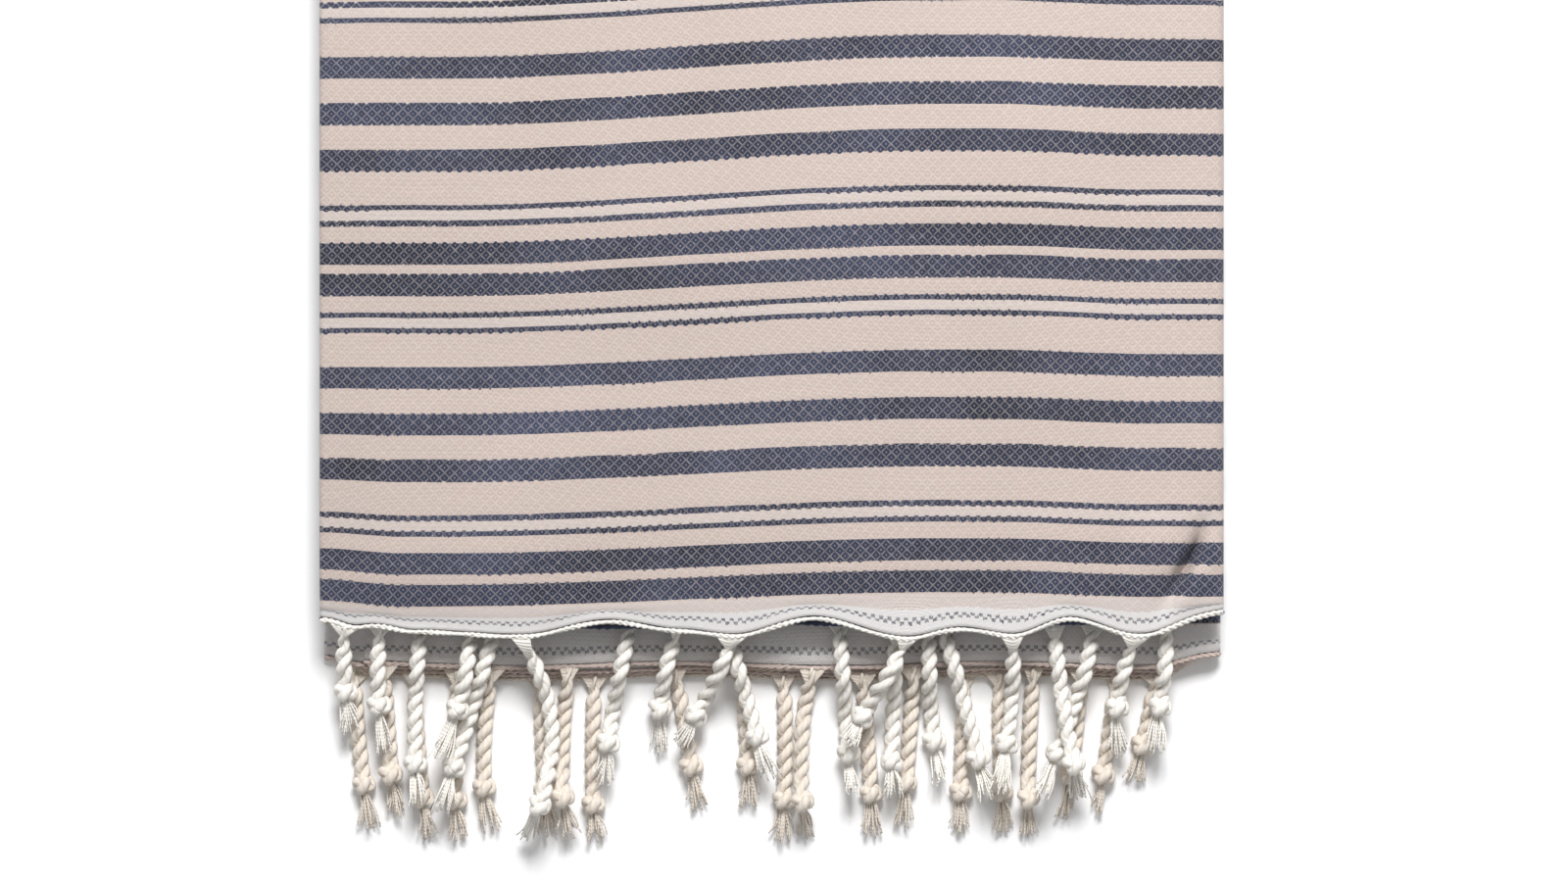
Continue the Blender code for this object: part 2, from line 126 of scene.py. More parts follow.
FOLD_BAND = 0.012  # scallops, waves and reaches die out over this distance to a fold
HEM_BAND = 0.010  # the hem's own shape fades out over this distance from the hem
CORNER_RISE = ((-0.104, -0.016, 0.0040), (0.098, 0.022, 0.0060))  # start, width, how far drawn back
HEM_LIFT = 0.0010
HEM_SAG = 0.0016
LIFT_BAND = 0.009
LEFT_BOW = (0.0448, -0.1324, 0.0036)  # start, width, drop
BOW_GROWTH = 0.0145
BOW_GROWS_TO = 0.20
LEFT_CURL = (-0.097, -0.023, -0.0017, 0.080)  # start, width, drop, gone at this distance from the hem
RIGHT_BOW = (0.058, 0.042, 0.0012)  # start, width, drop
SHIFT_FADE = (0.25, 0.55)  # the hem's shifts fade out from here, over this length
RELIEF = (  # x, distance from the hem, direction in degrees, half length, half width, height
    (0.109, 0.017, 60.0, 0.0100, 0.0024, -0.0048),
    (0.101, 0.022, 60.0, 0.0110, 0.0050, 0.0012),
    (-0.100, 0.004, 0.0, 0.0260, 0.0070, -0.0022),
    (0.030, 0.120, 12.0, 0.0900, 0.0260, 0.0010),
    (-0.060, 0.070, -8.0, 0.0700, 0.0200, -0.0009),
    (-0.050, 0.260, 10.0, 0.1000, 0.0300, 0.0012),
    (0.050, 0.420, -14.0, 0.1000, 0.0280, -0.0011),
    (-0.030, 0.600, 6.0, 0.0900, 0.0300, 0.0010),
    (0.040, 0.740, -5.0, 0.0900, 0.0260, -0.0010),
)
EDGE_FALL = (0.016, 0.0012)  # the strip's long edges fall away over this width, by this much
CREASE = (  # more of RELIEF, drawn only here: the dent's sharp bottom and the two soft lips beside it
    (0.1105, 0.0180, 66.0, 0.0085, 0.0013, -0.0030),
    (0.1075, 0.0190, 66.0, 0.0080, 0.0016, 0.0007),
    (0.1150, 0.0165, 66.0, 0.0080, 0.0018, 0.0008),
)
CREASE_SPAN = (0.103, 0.1160)  # the cloth's columns stand closer here
CREASE_MARGIN = 0.0003  # no other column stands nearer to that stretch

# The fringe, as its solids have it.
HEM_GAP = 0.0003
SPINE = 0.0015
ROOT_RADIUS = 0.00078
CORD_RADIUS = 0.00215
KNOT_RADIUS = 0.0036
TUFT_RADIUS = 0.0027
ROOT_LENGTH = 0.0025
FULL_FROM = 0.008
KNOT_HALF = 0.0042
CLEARANCE = 0.0008
TOUCH_FROM = 0.005  # cords keep their whole distance from one another beyond this length
HEM_CLEARANCE = 0.0012
STEEPEST = 0.9  # fall of a cord over its run
HAIR = 0.00002  # the least gap over the floor
SAMPLES = 57
ON_WAY = 0.4  # share of its reach at which a cord's place on its way is given
UPPER_CORDS = (  # run, x at the hem, x on its way, x at its tip, reach in Y, place of its knot
    (3, -0.0930, -0.0950, -0.0945, 0.0470, 0.81),
    (3, -0.0370, -0.0410, -0.0450, 0.0430, 0.78),
    (3, 0.0180, 0.0190, 0.0215, 0.0450, 0.80),
    (3, 0.0450, 0.0500, 0.0575, 0.0470, 0.80),
    (3, 0.0860, 0.0820, 0.0720, 0.0450, 0.79),
    (0, -0.0730, -0.0790, -0.0880, 0.0496, 0.79),
    (0, -0.0120, -0.0080, -0.0010, 0.0396, 0.76),
    (0, 0.0420, 0.0420, 0.0450, 0.0416, 0.77),
    (0, 0.0750, 0.0770, 0.0820, 0.0456, 0.81),
    (1, -0.1040, -0.1050, -0.1035, 0.0322, 0.67),
    (1, -0.0803, -0.0815, -0.0880, 0.0342, 0.67),
    (1, -0.0245, -0.0285, -0.0300, 0.0322, 0.69),
    (1, 0.0330, 0.0325, 0.0318, 0.0442, 0.82),
    (1, 0.1050, 0.1045, 0.1020, 0.0332, 0.70),
    (2, -0.1135, -0.1140, -0.1125, 0.027, 0.66),
    (2, -0.0668, -0.0592, -0.0655, 0.053, 0.84),
    (2, -0.0103, -0.0150, -0.0245, 0.028, 0.76),
    (2, 0.0362, 0.0300, 0.0205, 0.027, 0.78),
    (2, 0.0637, 0.0640, 0.0600, 0.040, 0.72),
    (2, 0.0967, 0.0930, 0.0925, 0.030, 0.64),
)
LOWER_CORDS = (
    (2, -0.1120, -0.1110, -0.1075, 0.041, 0.76),
    (2, -0.0620, -0.0615, -0.0600, 0.040, 0.74),
    (2, -0.0080, -0.0070, -0.0060, 0.033, 0.72),
    (2, 0.0520, 0.0510, 0.0505, 0.040, 0.77),
    (2, 0.0920, 0.0905, 0.0870, 0.034, 0.75),
    (1, -0.0960, -0.0950, -0.0925, 0.043, 0.78),
    (1, -0.0474, -0.0480, -0.0474, 0.043, 0.80),
    (1, 0.0030, 0.0035, 0.0025, 0.043, 0.78),
    (1, 0.0610, 0.0610, 0.0620, 0.041, 0.78),
    (1, 0.1030, 0.1010, 0.0970, 0.027, 0.70),
    (0, -0.0840, -0.0850, -0.0840, 0.044, 0.79),
    (0, -0.0260, -0.0235, -0.0200, 0.036, 0.72),
    (0, 0.0240, 0.0255, 0.0270, 0.042, 0.77),
    (0, 0.0700, 0.0690, 0.0685, 0.043, 0.80),
    (0, 0.0830, 0.0815, 0.0785, 0.038, 0.74),
    (3, -0.1040, -0.1030, -0.1010, 0.039, 0.75),
    (3, -0.0750, -0.0770, -0.0760, 0.042, 0.76),
    (3, -0.0540, -0.0560, -0.0545, 0.044, 0.78),
    (3, 0.0110, 0.0080, 0.0095, 0.044, 0.80),
    (3, 0.0380, 0.0370, 0.0350, 0.041, 0.76),
)
PLACING_ORDER = (2, 1, 0, 3)  # the lower end's runs from the floor up; the upper end's come in reverse

# How finely the cloth is drawn: steps along each run, round each fold and round the crosswise fold.
RUN_STEPS = (20, 20, 112, 20)
CREASE_STEPS = (12, 12, 26, 12)
FOLD_STEPS = (7, 7, 10)
BEND_STEPS = 14
HEM_ROWS = (0.0, 0.026, 0.001)  # rows across the cloth: first and last distance from the hem, step
PLAIN_ROWS = (0.026, 0.215, 0.0038)
FAR_ROWS = (0.215, RUN_LENGTH, 40)  # first and last distance, number of rows
UNDER_HEM_ROWS = (0.0, 0.014, 0.002)
UNDER_FAR_ROWS = (0.02, RUN_LENGTH, 26)

# The hem's roll is drawn finer than the cloth.
ROLL_RUN_STEPS = (110, 110, 150, 110)
ROLL_FOLD_STEPS = (8, 8, 14)

# The fringe's yarns.
UP = (0.0, 0.0, 1.0)
ALONG = (0.0, 1.0, 0.0)
PLY_SWING = 0.50  # over the cord's radius, as is PLY_RADIUS
PLY_RADIUS = 0.56
PLY_STEPS = 84
PLY_SIDES = 8
PLIES = (0.0, math.pi)
TAPER = (0.001, 0.006)  # a cord swells from here, over this length
KNOT_STEPS = 61
KNOT_SIZE = (0.68 * MM, 0.10 * MM)  # least, and how much more by chance
KNOT_LENGTH = 1.5
KNOT_STRAND = 1.35 * MM
KNOT_LOWEST = 1.4 * MM
KNOT_AHEAD = 0.002  # a knot's direction is taken over this length of its cord
TUFT_STEPS = 9
TUFT_YARN = 0.36 * MM
TUFT_SPREAD = (0.8 * MM, 2.6 * MM)  # least, and how much more by chance
TUFT_LENGTH = (0.80, 0.45)  # the same, over the length left beyond the knot
TUFT_SWING = 0.35 * MM
TUFT_FLATNESS = 0.55
FAN_STEPS = 8
FAN_YARN = 0.34 * MM
FAN_HALF_WIDTH = (2.4 * MM, 2.2 * MM)  # least, and how much more by chance
FAN_LOWEST = 0.46 * MM
FAN_MEETS = 0.12  # share of the cord's length
ROLL_BEYOND = 0.8 * MM
ROLL_LOWEST = 0.87 * MM
ROLL_TWIST = 3.6 * MM
ROLL_SWING = 0.38 * MM
ROLL_PLY = 0.48 * MM
YARN_SIDES = 5
ROLL_SIDES = 6
CAP_BULGE = 0.55  # how far a tube's end stands out, over its radius

# The stage.
FLOOR_HALF = 6.0
AIM = (0.0032, 0.0506)  # x, and how far up the towel from its uppermost hem
KEY_PLACE = (0.10, 0.78, 1.38)
KEY_SIZE = 0.55
FILL_PLACE = (0.5, 0.9, 1.6)
FILL_SIZE = 1.4
SENSOR = 36.0  # width, in millimetres


def linear(red, green, blue):
    """A display colour of 0 to 255 as linear light.

    It is c / 12.92 in the toe and ((c + 0.055) / 1.055) ** 2.4 above it.
    """
    shares = [channel / 255 for channel in (red, green, blue)]
    return tuple(c / 12.92 if c <= 0.04045 else ((c + 0.055) / 1.055) ** 2.4 for c in shares)


# Sizes and colours that a user would change.


class TowelSizes(bpy.types.PropertyGroup):
    yarn: FloatProperty(
        name="Yarn pitch", description="From one yarn to the next, both ways",
        default=0.34 * MM, unit="LENGTH",
    )
    period: FloatProperty(
        name="Stripe repeat", description="Length of one whole stripe repeat",
        default=83.4 * MM, unit="LENGTH",
    )
    first_pair: FloatProperty(
        name="First pair", description="From the hem to the middle of the first pair of wide stripes",
        default=17.7 * MM, unit="LENGTH",
    )
    wide: FloatProperty(
        name="Wide stripe", description="Width of a wide stripe", default=5.9 * MM, unit="LENGTH"
    )
    pair_pitch: FloatProperty(
        name="Pair pitch", description="Between the middles of two paired stripes",
        default=8.4 * MM, unit="LENGTH",
    )
    triple_pitch: FloatProperty(
        name="Triple pitch", description="Between the middles of three stripes in a row",
        default=12.5 * MM, unit="LENGTH",
    )
    line: FloatProperty(
        name="Thin line", description="Width of a thin line",
        default=1.5 * MM, unit="LENGTH",
    )
    line_pitch: FloatProperty(
        name="Line pitch", description="Between the two thin lines of a pair",
        default=4.2 * MM, unit="LENGTH",
    )
    line_place: FloatProperty(
        name="Line place", description="From a stripe pair's middle to the middle of the thin lines",
        default=14.4 * MM, unit="LENGTH",
    )
    band: FloatProperty(
        name="Plain band", description="From the hem to the first stripe",
        default=10.1 * MM, unit="LENGTH",
    )
    header: FloatProperty(
        name="Header", description="Width of the undyed header along the hem",
        default=6.2 * MM, unit="LENGTH",
    )
    dots: FloatProperty(
        name="Dots", description="From the hem to the middle of the two rows of dots",
        default=3.5 * MM, unit="LENGTH",
    )
    dot: FloatProperty(
        name="Dot", description="Width of a dot in the header",
        default=1.1 * MM, unit="LENGTH",
    )
    dot_row: FloatProperty(
        name="Dot row", description="Height of one row of dots", default=0.9 * MM, unit="LENGTH"
    )
    serration: FloatProperty(
        name="Serration", description="Height of the zigzag along a stripe's edges",
        default=0.50 * MM, unit="LENGTH",
    )
    # Painted shade: the cloth is drawn darker from its right side to its left, standing in for the light
    # falling off across the strip.
    painted_side_shade: FloatProperty(
        name="Painted_side_shade", description="Share of its lightness that the cloth loses from right to left",
        default=0.06, subtype="FACTOR",
    )
    twist: FloatProperty(
        name="Cord twist", description="Length of one turn of a cord's two plies",
        default=8.2 * MM, unit="LENGTH",
    )
    tuft_yarns: IntProperty(
        name="Tuft yarns", description="Loose yarn ends below a knot",
        default=22, min=3,
    )
    fan_yarns: IntProperty(
        name="Fan yarns", description="Warp ends gathered into a cord",
        default=13, min=3,
    )


class TowelColours(bpy.types.PropertyGroup):
    ground: FloatVectorProperty(
        name="Ground weft", description="Blush weft of the ground",
        subtype="COLOR", default=linear(209, 192, 184),
    )
    navy: FloatVectorProperty(
        name="Stripe weft", description="Navy weft of the stripes",
        subtype="COLOR", default=linear(46, 50, 67),
    )
    faded: FloatVectorProperty(
        name="Faded stripe", description="Navy weft where its dye is thin",
        subtype="COLOR", default=linear(72, 79, 104),
    )
    white: FloatVectorProperty(
        name="White weft", description="Undyed weft between thin lines and in the header",
        subtype="COLOR", default=linear(233, 231, 231),
    )
    warp: FloatVectorProperty(
        name="Warp", description="Undyed warp",
        subtype="COLOR", default=linear(229, 218, 210),
    )
    cord: FloatVectorProperty(
        name="Cord", description="Undyed cotton of the fringe on top",
        subtype="COLOR", default=linear(246, 242, 235),
    )
    # Painted shade: the lower fringe is the same cotton as the upper one, drawn darker and beiger as the
    # shade that it lies in.
    under_cord: FloatVectorProperty(
        name="Lower cord", description="Undyed cotton of the fringe below",
        subtype="COLOR", default=linear(230, 220, 208),
    )


class TowelStage(bpy.types.PropertyGroup):
    view_width: FloatProperty(
        name="View width", description="Width that the picture shows",
        default=0.4152, unit="LENGTH",
    )
    camera_height: FloatProperty(
        name="Camera height", description="Height of the camera over the towel's top",
        default=1.38, unit="LENGTH",
    )
    key_power: FloatProperty(
        name="Key light", description="Power of the main light",
        default=35.5, unit="POWER",
    )
    fill_power: FloatProperty(
        name="Fill light", description="Power of the fill light",
        default=3.0, unit="POWER",
    )
    surround: FloatProperty(
        name="Surround", description="Strength of the even surround",
        default=0.38,
    )


# The folded cloth as a function of its section and of the length along it.


def smooth(value):
    """A step from 0 to 1 with level ends: 3 t squared minus 2 t cubed."""
    t = np.clip(value, 0.0, 1.0)
    return t * t * (3.0 - 2.0 * t)


def section(run_steps, fold_steps):
    """x, height and run number across the cloth: straight runs joined by half circles."""
    x, height, run = [], [], []
    for number, (pitches, first, last) in enumerate(RUNS):
        even = np.linspace(first, last, run_steps[number] + 1)
        even = even[(even < CREASE_SPAN[0] - CREASE_MARGIN) | (even > CREASE_SPAN[1] + CREASE_MARGIN)]
        fine = np.linspace(*CREASE_SPAN, CREASE_STEPS[number] + 1)
        x.append(np.unique(np.concatenate([even, fine])))
        if first > last:
            x[-1] = x[-1][::-1]
        height.append(np.full(len(x[-1]), pitches * PITCH))
        run.append(np.full(len(x[-1]), float(number)))
        if number < len(FOLDS):
            centre, radius, side = FOLDS[number]
            share = np.arange(1, fold_steps[number]) / fold_steps[number]
            angle = math.copysign(math.pi / 2, pitches - centre) * (1.0 - 2.0 * share)
            x.append(last + side * radius * PITCH * np.cos(angle))
            height.append((centre + radius * np.sin(angle)) * PITCH)
            run.append(number + share)
    return np.concatenate(x), np.concatenate(height), np.concatenate(run)


def bow(x, d):
    """How far the rows sag towards the hem: a left step that grows with d, a curl and a right step."""
    start, width, drop = LEFT_BOW
    total = (drop + BOW_GROWTH * np.clip(d, 0.0, BOW_GROWS_TO)) * smooth((x - start) / width)
    start, width, curl, gone = LEFT_CURL
    total = total + curl * smooth((x - start) / width) * (1.0 - smooth(d / gone))
    start, width, drop = RIGHT_BOW
    return total + drop * smooth((x - start) / width)


def between_folds(x):
    """1 over the strip's width and 0 at its two long edges."""
    return smooth((x - LEFT_TURN) / FOLD_BAND) * smooth((RIGHT_TURN - x) / FOLD_BAND)


def scallop(x):
    """How far the uppermost hem is drawn back at x: smooth steps between the table's places."""
    places, depths = np.array(SCALLOPS).T
    depths = SCALLOPS_DEEPER * depths
    k = np.clip(np.searchsorted(places, x) - 1, 0, len(places) - 2)
    share = smooth((x - places[k]) / (places[k + 1] - places[k]))
    return depths[k] + (depths[k + 1] - depths[k]) * share


def on_top(run):
    """1 on the uppermost run, 0 on the others."""
    return np.clip(1.0 - np.abs(run - TOP_RUN), 0.0, 1.0)


def reach_of(x, run, table, at_folds):
    """How far a run lies beyond the uppermost hem: its entry in the table, and at_folds at the folds."""
    return at_folds + (np.interp(run, range(len(table)), table) - at_folds) * between_folds(x)


def corner_rise(x):
    """How far the strip's two corners are drawn back."""
    return sum(rise * smooth((x - start) / width) for start, width, rise in CORNER_RISE)


def hem_wave(x, turn):
    """The slight waviness of a hidden hem: a sine across the strip that dies out at the folds."""
    return HEM_WAVE * np.sin(2 * math.pi * x / HEM_WAVE_LENGTH + turn) * between_folds(x)


def upper_hem(x, run):
    """The upper end's hem: scallops on the uppermost run, waves on the others, less each run's reach."""
    scallops = scallop(x) * between_folds(x)
    shape = on_top(run) * scallops + (1.0 - on_top(run)) * hem_wave(x, 1.7 * run)
    return shape + corner_rise(x) - reach_of(x, run, UPPER_REACH, UPPER_AT_FOLDS)


def lower_hem(x, run):
    """The lower end's hem, on the same measure."""
    shape = hem_wave(x, 2.6 + 0.3 * run) + 0.5 * corner_rise(x)
    return shape - reach_of(x, run, LOWER_REACH, LOWER_AT_FOLDS)


def relief(x, d):
    """Height of the stack's ridges and troughs: a sum of Gaussians, less a fall along the long edges."""
    total = np.zeros(np.broadcast(x, d).shape)
    for centre_x, centre_d, direction, long, wide, height in RELIEF + CREASE:
        c, s = math.cos(math.radians(direction)), math.sin(math.radians(direction))
        along = ((x - centre_x) * c + (d - centre_d) * s) / long
        aside = ((d - centre_d) * c - (x - centre_x) * s) / wide
        total = total + height * np.exp(-(along**2) - aside**2)
    width, fall = EDGE_FALL
    return total - fall * (1.0 - smooth((STRIP_WIDTH / 2 - np.abs(x)) / width))


def lay(x, height, run, v):
    """Places cloth at x, height and run, at v along it: a straight run, a half circle, a run back.

    In the half circle y is (R + height) sin(turn) and z is the bend's level + (R + height) cos(turn).
    """
    x, height, run, v = np.broadcast_arrays(x, height, run, v)
    above = v < RUN_LENGTH
    below = v > CLOTH_LENGTH - RUN_LENGTH
    turn = np.clip((v - RUN_LENGTH) / BEND_LENGTH, 0.0, 1.0) * math.pi
    radius = BEND_RADIUS + height
    y = radius * np.sin(turn)
    z = BEND_LEVEL + radius * np.cos(turn)

    d = np.where(above, v, CLOTH_LENGTH - v)
    fade = 1.0 - smooth((d - SHIFT_FADE[0]) / SHIFT_FADE[1])
    at_hem = 1.0 - smooth(d / HEM_BAND)
    reach = reach_of(x, run, UPPER_REACH, UPPER_AT_FOLDS)
    upper = at_hem * upper_hem(x, run) - (1.0 - at_hem) * (bow(x, d) + reach)
    reach = reach_of(x, run, LOWER_REACH, LOWER_AT_FOLDS)
    lower = at_hem * lower_hem(x, run) - (1.0 - at_hem) * reach
    shift = np.where(above, upper, lower) * fade
    y = np.where(above | below, d - RUN_LENGTH + shift, y)

    near = 1.0 - smooth(d / LIFT_BAND)
    drawn = np.clip(scallop(x) / LIFTED_FULLY, 0.0, 1.0)
    lift = on_top(run) * HEM_LIFT * drawn - (1.0 - on_top(run)) * HEM_SAG
    z = z + np.where(above, lift * near * between_folds(x), 0.0)
    from_hem = np.clip(y + RUN_LENGTH, 0.0, RUN_LENGTH)
    lowest = THICKNESS / 2
    z = lowest + (z - lowest) * (1.0 + relief(x, from_hem) / STACK)
    return np.stack([x, y, z], axis=-1)


# The cords, laid one upon another in the order in which they come to rest.


def hem_places(end):
    """v at the hem of an end, and the direction in v that leads off the cloth."""
    return (0.0, -1.0) if end == "upper" else (CLOTH_LENGTH, 1.0)


def cord_root(end, run, x):
    """Where a cord leaves the hem."""
    hem, away = hem_places(end)
    root = lay(x, RUNS[run][0] * PITCH, float(run), hem + away * (HEM_GAP + SPINE / 2))
    root[2] = max(root[2], ROOT_RADIUS + HAIR)
    return root


def cord_radius(share, reach, knot):
    """The room that a cord takes: a thin root, the full cord, a knot and its tuft, in smooth steps."""
    s = share * reach
    grown = smooth((s - ROOT_LENGTH) / (FULL_FROM - ROOT_LENGTH))
    radius = ROOT_RADIUS + (CORD_RADIUS - ROOT_RADIUS) * grown
    radius = radius + (TUFT_RADIUS - CORD_RADIUS) * smooth((s - knot * reach) / KNOT_HALF)
    swell = 1.0 - smooth(np.abs(s - knot * reach) / KNOT_HALF)
    return radius + (KNOT_RADIUS - radius) * swell


def over_hems(points, radius):
    """Lowest heights for a cord's middle over each hem below its root: top + sqrt(tall^2 - beyond^2)."""
    x = points[:, 0]
    tall = radius * math.hypot(1.0, STEEPEST)
    lowest = np.zeros(len(points))
    for hem, away in (hem_places("upper"), hem_places("lower")):
        for number, (pitches, _, _) in enumerate(RUNS):
            edge = lay(x, pitches * PITCH, float(number), hem + away * (HEM_GAP + SPINE))
            if edge[0, 2] > points[0, 2] - PITCH / 2:
                continue
            inside = np.clip(points[:, 1] - edge[:, 1], 0.0, None)
            under = lay(x, pitches * PITCH, float(number), hem + away * (HEM_GAP + SPINE - inside))
            beyond = np.clip(edge[:, 1] - points[:, 1], 0.0, tall)
            top = under[:, 2] + THICKNESS / 2 + HEM_CLEARANCE
            over = top + np.sqrt(tall**2 - beyond**2)
            lowest = np.maximum(lowest, np.where(beyond < tall, over, 0.0))
    return lowest


def settle(points, radius, placed):
    """Heights of a cord that comes down from its root and rests on the floor, hems and earlier cords."""
    run = np.linalg.norm(np.diff(points[:, :2], axis=0), axis=1)
    s = np.concatenate([[0.0], np.cumsum(run)])
    rest = np.maximum(radius + HAIR, over_hems(points, radius))
    if placed:
        others = np.concatenate(placed)
        apart = np.linalg.norm(points[:, None, :2] - others[None, :, :2], axis=2)
        touch = (radius[:, None] + others[None, :, 3] + CLEARANCE) * smooth(s / TOUCH_FROM)[:, None]
        lift = others[None, :, 2] + np.sqrt(np.clip(touch**2 - apart**2, 0.0, None))
        rest = np.maximum(rest, np.where(apart < touch, lift, 0.0).max(axis=1))
    rest[0] = points[0, 2]
    z = rest.copy()
    for k in range(1, len(z)):
        z[k] = max(z[k], z[k - 1] - STEEPEST * run[k - 1])
    for k in range(len(z) - 2, 0, -1):
        z[k] = max(z[k], z[k + 1] - STEEPEST * run[k])
    for _ in range(6):
        z[1:-1] = np.maximum(rest[1:-1], (z[:-2] + z[1:-1] + z[2:]) / 3)
    z[0] = points[0, 2]
    return z


def plan(root, on_way, tip, reach, share):
    """x and y along a cord: a parabola through the x of its root, of its way at ON_WAY and of its tip."""
    first = root[0]
    bend = ((tip - first) * ON_WAY - (on_way - first)) / (ON_WAY * (1.0 - ON_WAY))
    x = first + (tip - first) * share - bend * share * (1.0 - share)
    return np.stack([x, root[1] - reach * share], axis=-1)


def settled_cords():
    """The cords of both ends: for each end, cords by samples of x, y, z and radius, and its table rows."""
    cords, rows, placed = {"lower": [], "upper": []}, {"lower": [], "upper": []}, []
    share = np.linspace(0.0, 1.0, SAMPLES)
    jobs = [("lower", run) for run in PLACING_ORDER] + [("upper", run) for run in PLACING_ORDER[::-1]]
    tables = {"lower": LOWER_CORDS, "upper": UPPER_CORDS}
    for end, layer in jobs:
        for row in tables[end]:
            run, x, on_way, tip, reach, knot = row
            if run != layer:
                continue
            root = cord_root(end, run, x)
            flat = plan(root, on_way, tip, reach, share)
            points = np.column_stack([flat, np.full(SAMPLES, root[2])])
            radius = cord_radius(share, reach, knot)
            points[:, 2] = settle(points, radius, placed)
            samples = np.column_stack([points, radius])
            placed.append(samples)
            cords[end].append(samples)
            rows[end].append(row)
    return {end: np.array(found) for end, found in cords.items()}, rows


CORDS, CORD_ROWS = settled_cords()


# Meshes.


def put_mesh(name, points, quads, corners_uv, triangles=None):
    """A smooth-shaded object of quads and triangles, with a UV map called weave, from whole arrays."""
    triangles = np.zeros((0, 3), np.int32) if triangles is None else triangles
    mesh = bpy.data.meshes.new(name)
    mesh.vertices.add(len(points))
    mesh.vertices.foreach_set("co", np.asarray(points, np.float32).ravel())
    loops = np.concatenate([quads.ravel(), triangles.ravel()]).astype(np.int32)
    mesh.loops.add(len(loops))
    mesh.loops.foreach_set("vertex_index", loops)
    starts = np.concatenate([np.arange(len(quads)) * 4, len(quads) * 4 + np.arange(len(triangles)) * 3])
    mesh.polygons.add(len(starts))
    mesh.polygons.foreach_set("loop_start", starts.astype(np.int32))
    mesh.update(calc_edges=True)
    mesh.uv_layers.new(name="weave").data.foreach_set("uv", corners_uv.astype(np.float32).ravel())
    mesh.validate()
    mesh.shade_smooth()
    piece = bpy.data.objects.new(name, mesh)
    bpy.context.scene.collection.objects.link(piece)
    return piece


def grid_quads(rows, columns):
    """Corner numbers of a grid's quads, turning from a column to the next and then to the next row."""
    index = np.arange(rows * columns).reshape(rows, columns)
    corners = index[:-1, :-1], index[:-1, 1:], index[1:, 1:], index[1:, :-1]
    return np.stack([corner.ravel() for corner in corners], axis=-1)


def unit(vectors):
    """Vectors of length 1."""
    return vectors / np.maximum(np.linalg.norm(vectors, axis=-1, keepdims=True), 1e-12)


def frames(paths, reference):
    """Direction, side and top along some paths: side is direction x reference, top direction x side."""
    direction = unit(np.gradient(paths, axis=1))
    side = unit(np.cross(direction, np.broadcast_to(reference, paths.shape)))
    return direction, side, np.cross(direction, side)


def tubes(paths, radii, reference, sides):
    """Closed tubes about paths: rings of radius (cos a side + sin a top), with a pole at each end.

    Returns points, quads, triangles and the corners' UV: turns round the tube, and metres along it.
    """
    count, steps = radii.shape
    direction, side, top = frames(paths, reference)
    angle = 2 * math.pi * np.arange(sides) / sides
    ring = np.cos(angle)[:, None] * side[:, :, None] + np.sin(angle)[:, None] * top[:, :, None]
    rings = paths[:, :, None] + radii[:, :, None, None] * ring
    bulge = CAP_BULGE * radii[..., None] * direction
    poles = np.stack([paths[:, 0] - bulge[:, 0], paths[:, -1] + bulge[:, -1]], axis=1)
    points = np.concatenate([rings.reshape(count, -1, 3), poles], axis=1)
    size = points.shape[1]

    i, j = np.meshgrid(np.arange(steps - 1), np.arange(sides), indexing="ij")
    i, j = i.ravel(), j.ravel()
    after = (j + 1) % sides
    here, ahead = i * sides, (i + 1) * sides
    quads = np.stack([here + j, here + after, ahead + after, ahead + j], axis=-1)
    k = np.arange(sides)
    beyond = (k + 1) % sides
    first = np.stack([np.full(sides, size - 2), beyond, k], axis=-1)
    base = (steps - 1) * sides
    last = np.stack([np.full(sides, size - 1), base + k, base + beyond], axis=-1)
    caps = np.concatenate([first, last])
    offset = (np.arange(count) * size)[:, None, None]

    pieces = np.linalg.norm(np.diff(paths, axis=1), axis=-1)
    length = np.concatenate([np.zeros((count, 1)), np.cumsum(pieces, axis=1)], axis=1)
    around = np.stack([j, j + 1, j + 1, j], axis=-1) / sides
    along = np.stack([length[:, i], length[:, i], length[:, i + 1], length[:, i + 1]], axis=-1)
    quad_uv = np.stack([np.broadcast_to(around, along.shape), along], axis=-1)
    ends = np.repeat(np.stack([length[:, 0], length[:, -1]], axis=1), sides, axis=1)
    turn = np.tile(np.stack([k + 0.5, k + 1.0, k], axis=-1) / sides, (2, 1))
    whole = (count, *turn.shape)
    cap_uv = np.stack([np.broadcast_to(turn, whole), np.broadcast_to(ends[..., None], whole)], axis=-1)
    return (
        points.reshape(-1, 3),
        (quads[None] + offset).reshape(-1, 4),
        (caps[None] + offset).reshape(-1, 3),
        quad_uv.reshape(-1, 2),
        cap_uv.reshape(-1, 2),
    )


def join_tubes(name, groups):
    """One object of several groups of tubes."""
    starts = np.cumsum([0] + [len(group[0]) for group in groups[:-1]])
    points = np.concatenate([group[0] for group in groups])
    quads = np.concatenate([group[1] + start for group, start in zip(groups, starts)])
    triangles = np.concatenate([group[2] + start for group, start in zip(groups, starts)])
    corners_uv = np.concatenate([group[3] for group in groups] + [group[4] for group in groups])
    return put_mesh(name, points + PLACE, quads, corners_uv, triangles)


def sample(cords, share):
    """Points and radii of cords at shares of their length, each between its two nearest samples."""
    place = np.clip(share, 0.0, 1.0) * (SAMPLES - 1)
    k = np.minimum(place.astype(int), SAMPLES - 2)
    part = (place - k)[..., None]
    number = np.arange(len(cords))[:, None]
    return cords[number, k] * (1.0 - part) + cords[number, k + 1] * part


# Materials: a socket that does arithmetic, and a finish that makes the nodes.


